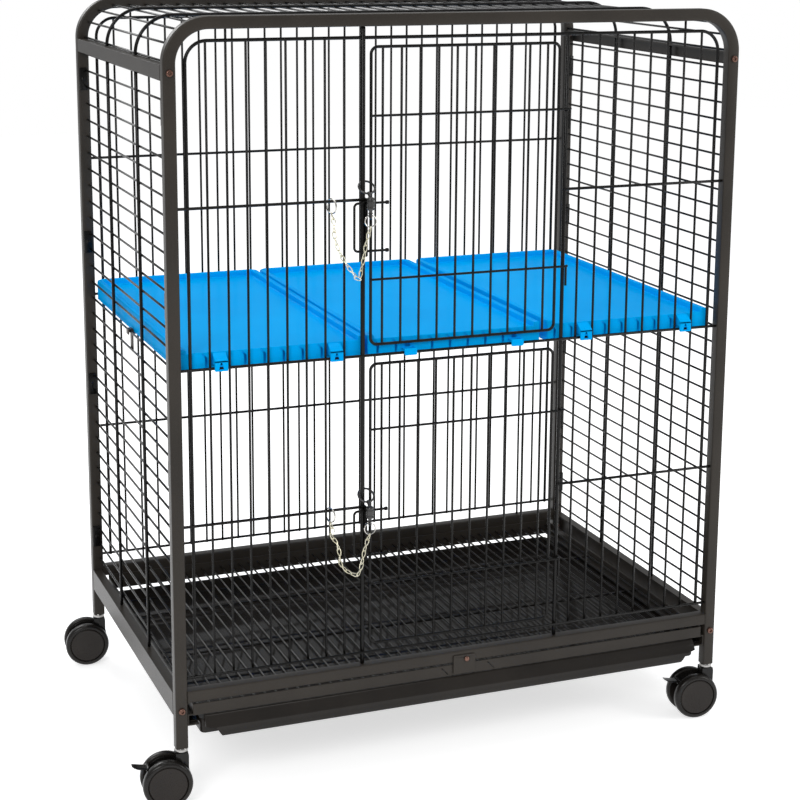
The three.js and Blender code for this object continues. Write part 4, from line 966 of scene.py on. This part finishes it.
for name, x, y, brake in CASTORS:
    place = Matrix.Translation((x, y, 0)) @ Matrix.Rotation(YAW, 4, "Z")
    stem, tyres = Shape(), pair(TYRE)
    stem.lathe(STEM, V(0, 0, 0), (0, 0, 1), 40)
    tyres.lathe([(3.0, -9.4), (3.0, 9.4)], V(-TRAIL, 0, WHEEL_R), (0, 1, 0), 24)       # the axle
    parts = [("stem_pin", stem, "cage", "stem_chrome", "stem", STEM_CHROME, 0.0),
             ("hood", hood(), f"{name}_castor", "castor_black", "housing", CASTOR_BLACK, 0.7),
             ("tyres", tyres, f"{name}_wheels", "wheel_black", "wheels", WHEEL_BLACK, 0.0),
             ("hub_discs", pair(HUB), f"{name}_wheels", "wheel_black", "wheels", HUB_BROWN, 0.0)]
    if brake:
        lever = brake_lever()
        parts.append(("brake_lever", lever, f"{name}_brake", "castor_black", "brake", CASTOR_BLACK, 0.0))
    for label, shape, body, slot, node, material, bevel in parts:
        shape.transform(place)
        piece(f"{name}_{label}", shape, body, [f"{name}_{node}"], material, bevel=bevel)


# ---------------------------------------------------------------- floor, light and camera
def either_ray(nodes, links, first, second):
    """1 for rays of the two kinds that are named, 0 for the others."""
    rays, pick = nodes.new("ShaderNodeLightPath"), nodes.new("ShaderNodeMath")
    pick.operation = "MAXIMUM"
    links.new(rays.outputs[first], pick.inputs[0])
    links.new(rays.outputs[second], pick.inputs[1])
    return pick.outputs[0]


bpy.ops.mesh.primitive_plane_add(size=14, location=(0, 0, -0.0005))
floor = bpy.context.object
floor.name = "floor"
paper = bpy.data.materials.new("paper")
paper.use_nodes = True
nodes, links = paper.node_tree.nodes, paper.node_tree.links
nodes.clear()
out = nodes.new("ShaderNodeOutputMaterial")
matt = nodes.new("ShaderNodeBsdfDiffuse")
matt.inputs["Color"].default_value = (0.82, 0.82, 0.82, 1)
glow = nodes.new("ShaderNodeEmission")
gain = nodes.new("ShaderNodeMath")
gain.operation = "MULTIPLY"
gain.inputs[1].default_value = 0.62
links.new(either_ray(nodes, links, "Is Camera Ray", "Is Glossy Ray"), gain.inputs[0])
links.new(gain.outputs[0], glow.inputs["Strength"])
both = nodes.new("ShaderNodeAddShader")
links.new(matt.outputs[0], both.inputs[0])
links.new(glow.outputs[0], both.inputs[1])
links.new(both.outputs[0], out.inputs["Surface"])
floor.data.materials.append(paper)

world = bpy.data.worlds.new("studio")
scene.world = world
world.use_nodes = True
nodes, links = world.node_tree.nodes, world.node_tree.links
nodes.clear()
out = nodes.new("ShaderNodeOutputWorld")
soft, clear = nodes.new("ShaderNodeBackground"), nodes.new("ShaderNodeBackground")
soft.inputs["Color"].default_value = (0.97, 0.985, 1.0, 1)
soft.inputs["Strength"].default_value = 0.5
clear.inputs["Color"].default_value = (1, 1, 1, 1)
clear.inputs["Strength"].default_value = 1.0
choose = nodes.new("ShaderNodeMixShader")
links.new(either_ray(nodes, links, "Is Camera Ray", "Is Transmission Ray"), choose.inputs["Fac"])
links.new(soft.outputs[0], choose.inputs[1])
links.new(clear.outputs[0], choose.inputs[2])
links.new(choose.outputs[0], out.inputs["Surface"])


def lamp(name, at, to, size, size_y, power, colour=(1, 1, 1)):
    """A soft box at one point, aimed at another, in metres."""
    data = bpy.data.lights.new(name, "AREA")
    data.shape = "RECTANGLE"
    data.size, data.size_y, data.energy, data.color = size, size_y, power, colour
    obj = bpy.data.objects.new(name, data)
    obj.location = at
    obj.rotation_euler = (Vector(to) - Vector(at)).to_track_quat("-Z", "Y").to_euler()
    scene.collection.objects.link(obj)


lamp("key", (-2.4, -3.0, 2.6), (0, 0, 0.5), 1.6, 1.2, 62)
lamp("fill", (2.8, -2.2, 1.6), (0, 0, 0.5), 1.4, 1.8, 30, (1.0, 0.99, 0.97))
lamp("top", (0.2, 0.3, 3.0), (0, 0, 0.4), 2.2, 1.6, 34)
lamp("back", (-1.2, 3.0, 2.2), (0, 0, 0.6), 1.8, 1.2, 26)

# the photograph's viewpoint: its place in mm, and in degrees the turn to the right, the dip and the roll
EYE, HEADING, DIP, ROLL = V(-937.82, -2421.58, 1137.60), 21.7197, 11.9181, 0.4158
camera = bpy.data.cameras.new("camera")
camera.sensor_width = 36
camera.lens = 83.09
camera.shift_x, camera.shift_y = -0.0147, -0.1243
camera.clip_end = 60
view = bpy.data.objects.new("camera", camera)
stance = Matrix.Translation((EYE + SHIFT) / 1000)
for angle, axis in ((-HEADING, "Z"), (90 - DIP, "X"), (ROLL, "Z")):
    stance = stance @ Matrix.Rotation(math.radians(angle), 4, axis)
view.matrix_world = stance
scene.collection.objects.link(view)
scene.camera = view
scene.view_settings.view_transform = "Standard"
